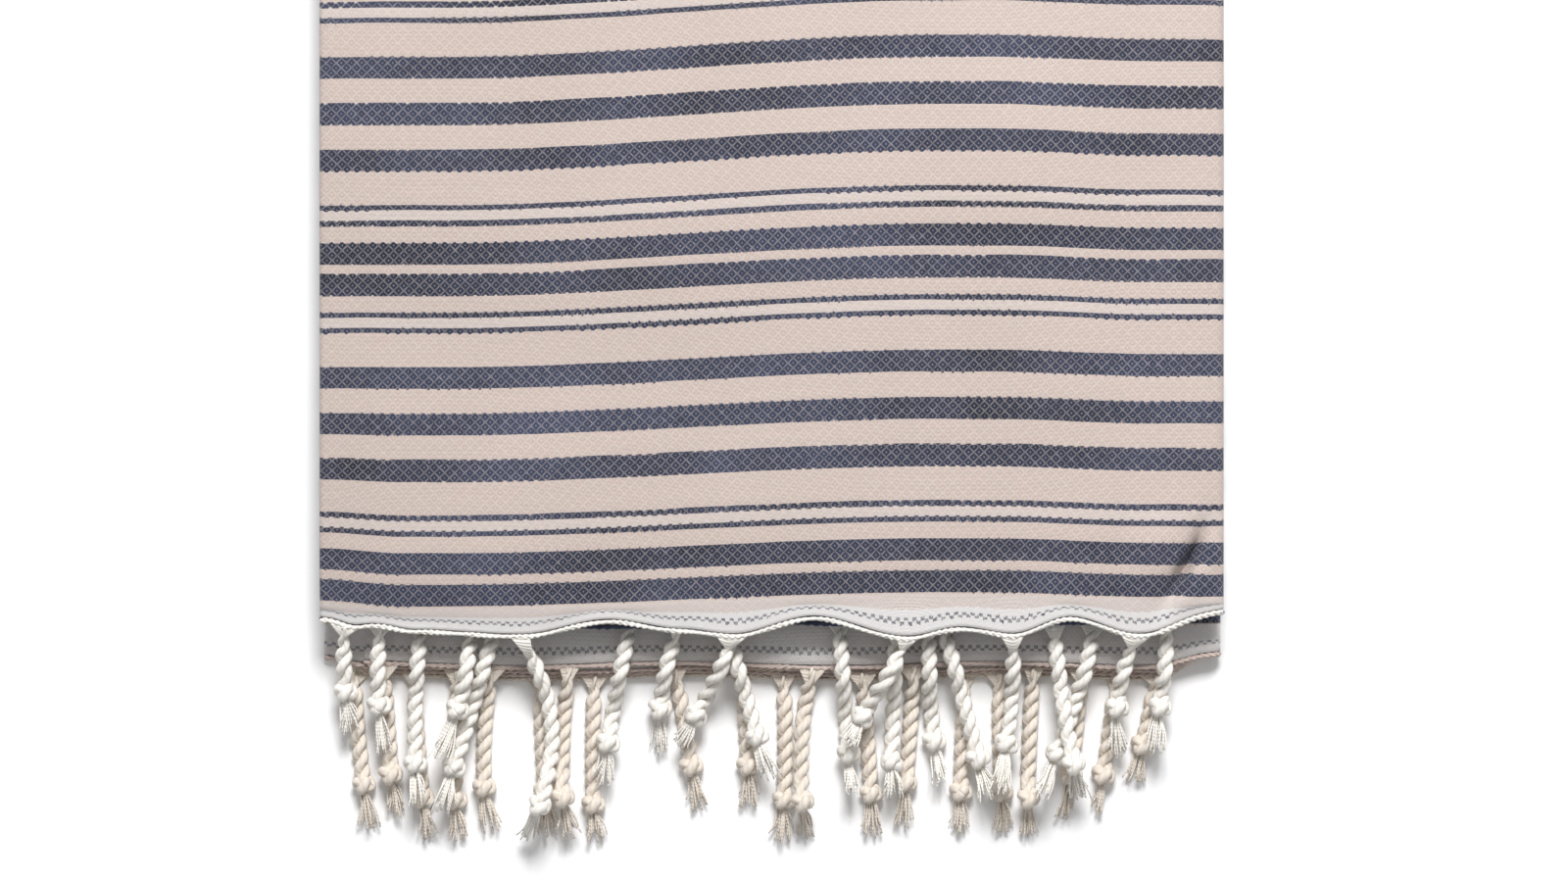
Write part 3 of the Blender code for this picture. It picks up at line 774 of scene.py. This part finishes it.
class Strand:
    """A number that varies over a surface. Arithmetic on it adds Math nodes."""

    def __init__(self, finish, socket):
        self.finish = finish
        self.socket = socket

    def math(self, operation, *others, flipped=False):
        values = (*others, self) if flipped else (self, *others)
        names = ("Value", "Value_001", "Value_002")
        node = self.finish.node("ShaderNodeMath", {"operation": operation}, **dict(zip(names, values)))
        return Strand(self.finish, node.outputs["Value"])

    def __add__(self, other):
        return self.math("ADD", other)

    __radd__ = __add__

    def __mul__(self, other):
        return self.math("MULTIPLY", other)

    __rmul__ = __mul__

    def __sub__(self, other):
        return self.math("SUBTRACT", other)

    def __rsub__(self, other):
        return self.math("SUBTRACT", other, flipped=True)

    def __truediv__(self, other):
        return self.math("DIVIDE", other)

    def __lt__(self, other):
        return self.math("LESS_THAN", other)

    def __gt__(self, other):
        return self.math("GREATER_THAN", other)

    def __abs__(self):
        return self.math("ABSOLUTE")

    def floor(self):
        return self.math("FLOOR")

    def wrap(self, span):
        return self.math("FLOORED_MODULO", span)

    def least(self, other):
        return self.math("MINIMUM", other)

    def most(self, other):
        return self.math("MAXIMUM", other)

    def sine(self):
        return self.math("SINE")

    def clamped(self):
        return self.math("MINIMUM", 1.0).math("MAXIMUM", 0.0)


class Finish:
    """A material and its nodes."""

    def __init__(self, name, roughness, sheen):
        self.material = bpy.data.materials.new(name)
        self.material.use_nodes = True
        self.tree = self.material.node_tree
        self.shader = self.tree.nodes["Principled BSDF"]
        self.shader.inputs["Metallic"].default_value = 0.0
        self.shader.inputs["Roughness"].default_value = roughness
        self.shader.inputs["Sheen Weight"].default_value = sheen
        self.shader.inputs["Sheen Roughness"].default_value = 0.5
        self.shader.inputs["Specular IOR Level"].default_value = 0.25

    def node(self, kind, settings=None, **sockets):
        """Any node, from its type, its settings and its sockets' values or links, by identifier or name."""
        made = self.tree.nodes.new(kind)
        for key, value in (settings or {}).items():
            setattr(made, key, value)
        known = {socket.name.replace(" ", "_"): socket for socket in reversed(made.inputs)}
        known.update({socket.identifier: socket for socket in made.inputs})
        for key, value in sockets.items():
            self.plug(known[key], value)
        return made

    def plug(self, socket, value):
        """Links a socket or sets its value."""
        if isinstance(value, Strand):
            self.tree.links.new(value.socket, socket)
        elif isinstance(value, bpy.types.NodeSocket):
            self.tree.links.new(value, socket)
        elif hasattr(value, "__len__") and socket.type == "RGBA":
            socket.default_value = (*value[:3], 1.0)
        else:
            socket.default_value = value

    def on_cloth(self):
        """The two coordinates of the piece's own weave map, in metres across and along."""
        found = self.node("ShaderNodeUVMap", {"uv_map": "weave"})
        parts = self.node("ShaderNodeSeparateXYZ", Vector=found.outputs["UV"])
        return Strand(self, parts.outputs["X"]), Strand(self, parts.outputs["Y"])

    def vector(self, x, y, z=0.0):
        """A vector of three numbers, each of which may vary."""
        return self.node("ShaderNodeCombineXYZ", X=x, Y=y, Z=z).outputs["Vector"]

    def noise(self, place, scale, detail=2.0, roughness=0.5):
        """Noise from about 0 to 1 at a place."""
        sockets = {"Vector": place, "Scale": scale, "Detail": detail, "Roughness": roughness}
        made = self.node("ShaderNodeTexNoise", **sockets)
        return Strand(self, made.outputs["Fac"])

    def own_place(self):
        """The piece's own coordinates."""
        return self.node("ShaderNodeTexCoord").outputs["Object"]

    def mix(self, share, first, second, blend="MIX"):
        """A colour between two colours."""
        settings = {"data_type": "RGBA", "blend_type": blend}
        made = self.node("ShaderNodeMix", settings, Factor_Float=share, A_Color=first, B_Color=second)
        return next(socket for socket in made.outputs if socket.identifier == "Result_Color")

    def shade(self, colour, brightness):
        """A colour multiplied by a number."""
        grey = self.node("ShaderNodeCombineColor", Red=brightness, Green=brightness, Blue=brightness)
        return self.mix(1.0, colour, grey.outputs["Color"], "MULTIPLY")

    def surface(self, colour, height, depth, roughness=None):
        """Connects the colour and a height in shares of depth, in metres."""
        self.plug(self.shader.inputs["Base Color"], colour)
        bump = self.node("ShaderNodeBump", Height=height, Distance=depth, Strength=1.0)
        self.plug(self.shader.inputs["Normal"], bump.outputs["Normal"])
        if roughness is not None:
            self.plug(self.shader.inputs["Roughness"], roughness)
        return self.material


DIAMOND = 8.0  # yarns from one diamond of the twill to the next


def stripe_shares(place, sizes):
    """1 on wide stripes and thin lines, and 1 between two thin lines, mirrored about each stripe pair."""
    half = sizes.period / 2
    from_pair = abs((place - (sizes.first_pair - half)).wrap(sizes.period) - half)
    from_triple = half - from_pair
    wide = sizes.wide / 2
    line = sizes.line / 2
    step = sizes.line_pitch / 2
    stripes = (abs(from_pair - sizes.pair_pitch / 2) < wide) + (from_triple < wide)
    stripes = stripes + (abs(from_triple - sizes.triple_pitch) < wide)
    for side in (-step, step):
        stripes = stripes + (abs(from_pair - (sizes.line_place + side)) < line)
    return stripes, abs(from_pair - sizes.line_place) < step - line


def weft_shares(place, across, length, fleck, sizes):
    """Shares of navy and of undyed weft, with the header: undyed and dotted on top, and navy as painted
    shade on the runs underneath.
    """
    stripes, between_lines = stripe_shares(place, sizes)
    past_band = place > sizes.band
    in_header = place < sizes.header
    upper_end = length < CLOTH_LENGTH / 2
    lower_end = 1.0 - upper_end
    top_layer = (across > TOP_FROM) * (across < TOP_TO) * upper_end
    under_layer = (1.0 - top_layer) * upper_end
    dot_row = (place - sizes.dots) / sizes.dot_row
    on_dot = (across + (dot_row > 0.0) * sizes.dot).wrap(2 * sizes.dot) < sizes.dot
    dotted = in_header * (abs(dot_row) < 1.0) * on_dot
    dots = dotted * (fleck * 1.6 - 0.1).clamped()
    # Painted shade: the header of the runs under the uppermost one is drawn navy, dark as the shade beneath
    # the uppermost hem.
    painted_shade_backs = in_header * under_layer * (1.0 - dotted * 0.5)
    faint_dots = dotted * lower_end * 0.6
    navy = (stripes * past_band + dots * top_layer + painted_shade_backs * 0.9 + faint_dots).least(1.0)
    # On the lower end the plain band is drawn near white: painted light that lifts the lower end out of the
    # shade that the upper end casts on it.
    white = between_lines * past_band * 0.22 + (1.0 - past_band) * (0.30 + lower_end * 0.6)
    return navy, white.most(in_header * top_layer), lower_end


def woven_cotton(sizes, colours):
    """Diamond twill of undyed warp over coloured weft, with the stripes laid by whole picks."""
    finish = Finish("woven_cotton", 0.88, 0.12)
    across, length = finish.on_cloth()
    on_cloth = finish.vector(across, length)
    drift = finish.noise(on_cloth, 55.0)  # how far the picks wander
    cloud = finish.noise(on_cloth, 24.0, 3.0, 0.55)  # how thin the dye is
    fleck = finish.noise(on_cloth, 520.0, 3.0, 0.65)  # the yarns' own unevenness
    along = length.least(CLOTH_LENGTH - length) + (drift - 0.5) * (0.5 * MM)
    across_drift = across + (cloud - 0.5) * (1.2 * MM)
    warp_place = across_drift / sizes.yarn
    weft_place = along / sizes.yarn
    warp = warp_place.floor()
    weft = weft_place.floor()

    # The diamond: a warp yarn shows where the folded counts of both yarns add up to a whole half diamond.
    turned_warp = abs(warp.wrap(DIAMOND) - DIAMOND / 2)
    turned_weft = abs(weft.wrap(DIAMOND) - DIAMOND / 2)
    lifted = (turned_warp + turned_weft).wrap(DIAMOND / 2) < 0.5
    warp_side = abs(warp_place - warp - 0.5) * 2.0
    weft_side = abs(weft_place - weft - 0.5) * 2.0
    warp_shows = lifted * (warp_side < fleck * 1.3)

    # Picks beat up unevenly, so a stripe's edge runs in the zigzag of the diamonds.
    diamonds = warp_place / DIAMOND
    zigzag = abs(diamonds - diamonds.floor() - 0.5) * 2.0 - 0.5
    uneven = ((drift - 0.5) * 4.0 + (fleck - 0.5) * 3.0 + 0.5).clamped() * sizes.serration
    place = (weft + 0.5) * sizes.yarn + zigzag * uneven
    navy, white, lower_end = weft_shares(place, across, length, fleck, sizes)

    end_tone = finish.noise(finish.vector(warp * 5.17, 3.0), 1.0, 0.0)
    pick_tone = finish.noise(finish.vector(weft * 7.31, across * 9.0), 1.0, 1.0)
    ground = finish.mix(white, tuple(colours.ground), tuple(colours.white))
    # lower_end * 0.12 is painted light on the lower end, in the upper end's shade; pick_tone and fleck are
    # the yarns' own uneven tone.
    tone_and_painted_light = 0.90 + lower_end * 0.12 + pick_tone * 0.12 + (fleck - 0.5) * 0.12
    ground = finish.shade(ground, tone_and_painted_light)
    dye = finish.mix((cloud * 2.6 - 0.8).clamped(), tuple(colours.navy), tuple(colours.faded))
    dye = finish.shade(dye, 0.50 + fleck * 0.80 + (pick_tone - 0.5) * 0.25)
    weft_colour = finish.mix(navy, ground, dye)
    warp_colour = finish.shade(tuple(colours.warp), 0.90 + end_tone * 0.12)
    seen_warp = finish.mix(navy * (0.80 - fleck * 0.55), warp_colour, dye)
    colour = finish.mix(warp_shows, weft_colour, seen_warp)

    crown = warp_shows * (1.25 - warp_side * warp_side * 0.6)
    crown = crown + (1.0 - warp_shows) * (1.0 - weft_side * weft_side * 0.75)
    # Painted shade: the cloth is drawn darker towards the edges of each yarn, in the grooves between yarns.
    painted_groove_shade = 0.84 + crown.least(1.0) * 0.16
    # Painted shade: the cloth is drawn darker from its right side to its left, standing in for the light
    # falling off across the strip.
    own_axes = finish.node("ShaderNodeSeparateXYZ", Vector=finish.own_place())
    own_x = Strand(finish, own_axes.outputs["X"])
    painted_side_shade = (own_x / STRIP_WIDTH + 0.5).clamped() * sizes.painted_side_shade + (1.0 - sizes.painted_side_shade)
    colour = finish.shade(colour, painted_groove_shade * painted_side_shade * (0.95 + cloud * 0.10))
    return finish.surface(colour, crown + fleck * 0.5, 0.12 * MM, 0.80 + fleck * 0.14)


def twisted_cotton(name, colour, turns, pitch, tone):
    """Cotton whose yarns wind round the piece: the sine of turns round it plus length over pitch."""
    finish = Finish(name, 0.85, 0.15)
    around, length = finish.on_cloth()
    place = finish.own_place()
    fuzz = finish.noise(place, 1900.0, 3.0, 0.6)
    cloud = finish.noise(place, 160.0, 2.0)
    wind = (around * turns + length / pitch + (cloud - 0.5) * 0.6) * (2 * math.pi)
    yarn = wind.sine() * 0.5 + 0.5
    # Painted shade: yarn * 0.09 draws the cotton darker between the wound yarns; fuzz and cloud are its own
    # uneven tone.
    shade = tone + yarn * 0.09 + (fuzz - 0.5) * 0.10 + (cloud - 0.5) * 0.10
    coloured = finish.shade(tuple(colour), shade)
    return finish.surface(coloured, yarn * 0.7 + fuzz * 0.6, 0.14 * MM, 0.78 + fuzz * 0.16)


def dress(piece, material, slot, *nodes):
    """Gives a piece its material and its body, and hides the nodes that it stands for."""
    piece.data.materials.append(material)
    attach(piece, "root")
    if nodes:
        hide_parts(*nodes)


# Operators.


class TOWEL_OT_weave_cloth(bpy.types.Operator):
    """Weaves the towel's cloth and folds it: one sheet on its solid's own folds"""

    bl_idname = "towel.weave_cloth"
    bl_label = "Weave cloth"

    def execute(self, context):
        x, height, run = section(RUN_STEPS, FOLD_STEPS)
        upper = [np.arange(*HEM_ROWS), np.arange(*PLAIN_ROWS), np.linspace(*FAR_ROWS)]
        bend = RUN_LENGTH + BEND_LENGTH * np.arange(1, BEND_STEPS) / BEND_STEPS
        under = np.concatenate([np.arange(*UNDER_HEM_ROWS), np.linspace(*UNDER_FAR_ROWS)])
        v = np.concatenate([*upper, bend, CLOTH_LENGTH - under[::-1]])
        points = lay(x, height, run, v[:, None]) + PLACE
        u = np.concatenate([[0.0], np.cumsum(np.hypot(np.diff(x), np.diff(height)))])
        quads = grid_quads(len(v), len(u))
        uv = np.stack(np.broadcast_arrays(u, v[:, None]), axis=-1).reshape(-1, 2)
        piece = put_mesh("woven_cloth", points.reshape(-1, 3), quads, uv[quads.ravel()])
        solidify = piece.modifiers.new("thickness", "SOLIDIFY")
        solidify.thickness = THICKNESS
        solidify.offset = 0.0
        settings = context.scene.hammam_towel_sizes, context.scene.hammam_towel_colours
        dress(piece, woven_cotton(*settings), "woven_cotton", "towel_cloth")
        return {"FINISHED"}


class TOWEL_OT_twist_fringe(bpy.types.Operator):
    """Twists, knots and frays the fringe of one end"""

    bl_idname = "towel.twist_fringe"
    bl_label = "Twist fringe"

    end: bpy.props.EnumProperty(
        name="End",
        items=[("upper", "Upper", "The end that lies on top"), ("lower", "Lower", "The end below")],
    )

    def execute(self, context):
        sizes = context.scene.hammam_towel_sizes
        colours = context.scene.hammam_towel_colours
        cords = CORDS[self.end]
        reach, knot = np.array([row[4:6] for row in CORD_ROWS[self.end]]).T
        chance = np.random.default_rng(7 if self.end == "upper" else 11)
        # The lower end's cords take that cotton in painted shade.
        cotton = colours.cord if self.end == "upper" else colours.under_cord
        plies = twisted_cotton(f"cord_cotton_{self.end}", cotton, 3.0, 2.1 * MM, 0.87)
        loose = twisted_cotton(f"tuft_cotton_{self.end}", cotton, 2.0, 1.0 * MM, 0.88)
        # Painted shade: the roll of the runs under the uppermost one is drawn in faded navy on the upper
        # end and in the blush ground on the lower end, not in its own undyed cotton, as the shade it lies
        # in.
        hidden = colours.faded if self.end == "upper" else colours.ground
        under = twisted_cotton(f"under_cotton_{self.end}", hidden, 3.0, 2.1 * MM, 0.87)
        made = {
            "cords": (self.twist(cords, reach, knot, sizes.twist, chance), plies),
            "knots": (self.knots(cords, reach, knot, chance), plies),
            "tufts": (self.fray(cords, reach, knot, sizes.tuft_yarns, chance), loose),
            "fans": (self.gather(sizes.fan_yarns, chance), loose),
            "hem_roll": (self.roll(True), plies),
            "under_roll": (self.roll(False), under),
        }
        for name, (groups, material) in made.items():
            piece = join_tubes(f"{name}_{self.end}", groups)
            nodes = [f"fringe_{self.end}_end"] if name == "cords" else []
            dress(piece, material, "cotton_cord", *nodes)
        return {"FINISHED"}

    def twist(self, cords, reach, knot, twist, chance):
        """Two plies on a helix about the cord: middle + swing (cos a side + sin a top)."""
        share = np.linspace(0.0, 1.0, PLY_STEPS) * knot[:, None]
        middle = sample(cords, share)[..., :3]
        s = share * reach[:, None]
        start, width = TAPER
        radius = ROOT_RADIUS + (CORD_RADIUS - ROOT_RADIUS) * smooth((s - start) / width)
        _, side, top = frames(middle, UP)
        turn = 2 * math.pi * (s / twist + chance.random(len(cords))[:, None])
        groups = []
        for ply in PLIES:
            wind = np.cos(turn + ply)[..., None] * side + np.sin(turn + ply)[..., None] * top
            path = middle + PLY_SWING * radius[..., None] * wind
            path[..., 2] = np.maximum(path[..., 2], PLY_RADIUS * radius)
            groups.append(tubes(path, PLY_RADIUS * radius, UP, PLY_SIDES))
        return groups

    def knots(self, cords, reach, knot, chance):
        """Trefoils about the cord: (sin t + 2 sin 2t) side + (cos t - 2 cos 2t) top - sin 3t direction."""
        found = sample(cords, knot[:, None])[..., :3]
        ahead = sample(cords, (knot + KNOT_AHEAD / reach)[:, None])[..., :3]
        direction = unit(ahead - found)
        side = unit(np.cross(direction, UP))
        top = np.cross(direction, side)
        each = (len(cords), 1, 1)
        t = np.linspace(0.0, 2 * math.pi, KNOT_STEPS)[None, :, None] + 2 * math.pi * chance.random(each)
        least, more = KNOT_SIZE
        size = least + more * chance.random(each)
        shape = (np.sin(t) + 2 * np.sin(2 * t)) * side + (np.cos(t) - 2 * np.cos(2 * t)) * top
        path = found + size * (shape - KNOT_LENGTH * np.sin(3 * t) * direction)
        path[..., 2] = np.maximum(path[..., 2], KNOT_LOWEST)
        return [tubes(path, np.full(path.shape[:2], KNOT_STRAND), unit(path - found), PLY_SIDES)]

    def fray(self, cords, reach, knot, count, chance):
        """Yarn ends below each knot: they leave along the cord and spread as a power of the distance."""
        each = (len(cords), count, 1)
        share = np.linspace(0.0, 1.0, TUFT_STEPS)
        start = knot[:, None]
        along = sample(cords, start + (1.0 - start) * share)[..., :3]
        direction, side, top = frames(along, UP)
        angle = 2 * math.pi * chance.random(each)
        least, more = TUFT_SPREAD
        spread = least + more * chance.random(each)
        shortest, longer = TUFT_LENGTH
        long = shortest + longer * chance.random(each)
        swing = TUFT_SWING * np.sin(share * (4 + 5 * chance.random(each)) + angle)
        out = spread * (0.25 + 0.75 * share**1.3) + swing
        across = out * np.cos(angle)
        up = TUFT_FLATNESS * out * np.sin(angle)
        forward = (long - 1.0) * share * (reach * (1.0 - knot))[:, None, None]
        path = along[:, None] + across[..., None] * side[:, None] + up[..., None] * top[:, None]
        path = path + forward[..., None] * direction[:, None]
        radius = TUFT_YARN * (1.0 - 0.45 * share) * np.ones(each)
        path[..., 2] = np.maximum(path[..., 2], radius)
        path = path.reshape(-1, TUFT_STEPS, 3)
        return [tubes(path, radius.reshape(-1, TUFT_STEPS), UP, YARN_SIDES)]

    def gather(self, count, chance):
        """Warp ends from a stretch of the hem into each cord: they close in early and fall late."""
        hem, away = hem_places(self.end)
        share = np.linspace(0.0, 1.0, FAN_STEPS)
        least, more = FAN_HALF_WIDTH
        paths = []
        for cord, (run, x, *_) in zip(CORDS[self.end], CORD_ROWS[self.end]):
            width = least + more * chance.random()
            places = x + width * np.linspace(-1.0, 1.0, count)
            places = np.clip(places, LEFT_TURN + 0.5 * MM, RIGHT_TURN)
            start = lay(places, RUNS[run][0] * PITCH, float(run), hem + away * (HEM_GAP + 0.2 * SPINE))
            goal = sample(cord[None], np.full((1, 1), FAN_MEETS))[0, 0, :3]
            line = start[:, None] + (goal - start)[:, None] * (share**0.75)[None, :, None]
            fall = (goal[2] - start[:, None, 2]) * share**1.8
            line[..., 2] = np.maximum(start[:, None, 2] + fall, FAN_LOWEST)
            paths.append(line)
        paths = np.concatenate(paths)
        radius = np.broadcast_to(FAN_YARN * (1.0 + 0.3 * share), paths.shape[:2])
        return [tubes(paths, radius, UP, YARN_SIDES)]

    def roll(self, on_top_run):
        """The cloth's rolled end: two plies wound along the hem, of the uppermost run or of the others."""
        hem, away = hem_places(self.end)
        x, height, run = section(ROLL_RUN_STEPS, ROLL_FOLD_STEPS)
        middle = lay(x, height, run, hem + away * ROLL_BEYOND)
        middle[:, 2] = np.maximum(middle[:, 2], ROLL_LOWEST)
        on_it = np.abs(run - TOP_RUN) < 0.5
        stretches = [on_it] if on_top_run else [run <= TOP_RUN - 0.5, run >= TOP_RUN + 0.5]
        groups = []
        for stretch in stretches:
            path = middle[stretch][None]
            pieces = np.linalg.norm(np.diff(path[0], axis=0), axis=1)
            length = np.concatenate([[0.0], np.cumsum(pieces)])
            _, side, top = frames(path, ALONG)
            turn = (2 * math.pi * length / ROLL_TWIST)[None, :, None]
            for ply in PLIES:
                wind = np.cos(turn + ply) * side + np.sin(turn + ply) * top
                radius = np.full(path.shape[:2], ROLL_PLY)
                groups.append(tubes(path + ROLL_SWING * wind, radius, ALONG, ROLL_SIDES))
        return groups


class TOWEL_OT_set_stage(bpy.types.Operator):
    """Sets the pale floor, the soft lights and the camera above the towel"""

    bl_idname = "towel.set_stage"
    bl_label = "Set stage"

    def execute(self, context):
        stage = context.scene.hammam_towel_stage
        self.floor()
        hem = PLACE[1] - RUN_LENGTH
        aim = (AIM[0], hem + AIM[1], 0.0)
        self.area("key", KEY_PLACE, aim, KEY_SIZE, stage.key_power)
        self.area("fill", FILL_PLACE, aim, FILL_SIZE, stage.fill_power)
        world = bpy.data.worlds.new("surround")
        world.use_nodes = True
        back = world.node_tree.nodes["Background"]
        back.inputs["Color"].default_value = (1.0, 1.0, 1.0, 1.0)
        back.inputs["Strength"].default_value = stage.surround
        context.scene.world = world
        camera = bpy.data.cameras.new("camera")
        camera.sensor_width = SENSOR
        camera.lens = camera.sensor_width * stage.camera_height / stage.view_width
        made = bpy.data.objects.new("camera", camera)
        made.location = (aim[0], aim[1], STACK + stage.camera_height)
        context.scene.collection.objects.link(made)
        context.scene.camera = made
        context.scene.view_settings.view_transform = "Standard"
        return {"FINISHED"}

    def floor(self):
        """A wide pale plane at the level that the towel rests on."""
        corners = ((-1, -1, 0), (1, -1, 0), (1, 1, 0), (-1, 1, 0))
        points = FLOOR_HALF * np.array(corners, float)
        quads = np.array([[0, 1, 2, 3]])
        floor = put_mesh("floor", points, quads, points[:, :2])
        finish = Finish("pale_floor", 0.9, 0.0)
        grain = finish.noise(finish.own_place(), 300.0, 2.0)
        colour = finish.shade((0.93, 0.93, 0.935), 0.99 + grain * 0.02)
        floor.data.materials.append(finish.surface(colour, grain, 0.02 * MM))

    def area(self, name, place, aim, size, power):
        """A square lamp that faces a point."""
        lamp = bpy.data.lights.new(name, "AREA")
        lamp.size = size
        lamp.energy = power
        made = bpy.data.objects.new(name, lamp)
        made.location = place
        towards = np.array(aim) - np.array(place)
        flat = math.hypot(towards[0], towards[1])
        made.rotation_euler = (math.atan2(flat, -towards[2]), 0.0, math.atan2(-towards[0], towards[1]))
        bpy.context.scene.collection.objects.link(made)


class TOWEL_PT_panel(bpy.types.Panel):
    """The towel's sizes, colours and steps"""

    bl_idname = "TOWEL_PT_panel"
    bl_label = "Hammam towel"
    bl_space_type = "VIEW_3D"
    bl_region_type = "UI"
    bl_category = "Towel"

    def draw(self, context):
        scene = context.scene
        for group in (scene.hammam_towel_sizes, scene.hammam_towel_colours, scene.hammam_towel_stage):
            box = self.layout.box()
            for name in group.__annotations__:
                box.prop(group, name)
        self.layout.operator(TOWEL_OT_weave_cloth.bl_idname)
        self.layout.operator(TOWEL_OT_twist_fringe.bl_idname).end = "upper"
        self.layout.operator(TOWEL_OT_twist_fringe.bl_idname).end = "lower"
        self.layout.operator(TOWEL_OT_set_stage.bl_idname)


CLASSES = (
    TowelSizes,
    TowelColours,
    TowelStage,
    TOWEL_OT_weave_cloth,
    TOWEL_OT_twist_fringe,
    TOWEL_OT_set_stage,
    TOWEL_PT_panel,
)


def register():
    for each in CLASSES:
        bpy.utils.register_class(each)
    bpy.types.Scene.hammam_towel_sizes = PointerProperty(type=TowelSizes)
    bpy.types.Scene.hammam_towel_colours = PointerProperty(type=TowelColours)
    bpy.types.Scene.hammam_towel_stage = PointerProperty(type=TowelStage)


def unregister():
    del bpy.types.Scene.hammam_towel_stage
    del bpy.types.Scene.hammam_towel_colours
    del bpy.types.Scene.hammam_towel_sizes
    for each in reversed(CLASSES):
        bpy.utils.unregister_class(each)


def main():
    register()
    bpy.ops.towel.weave_cloth()
    bpy.ops.towel.twist_fringe(end="upper")
    bpy.ops.towel.twist_fringe(end="lower")
    bpy.ops.towel.set_stage()


if __name__ == "__main__":
    main()
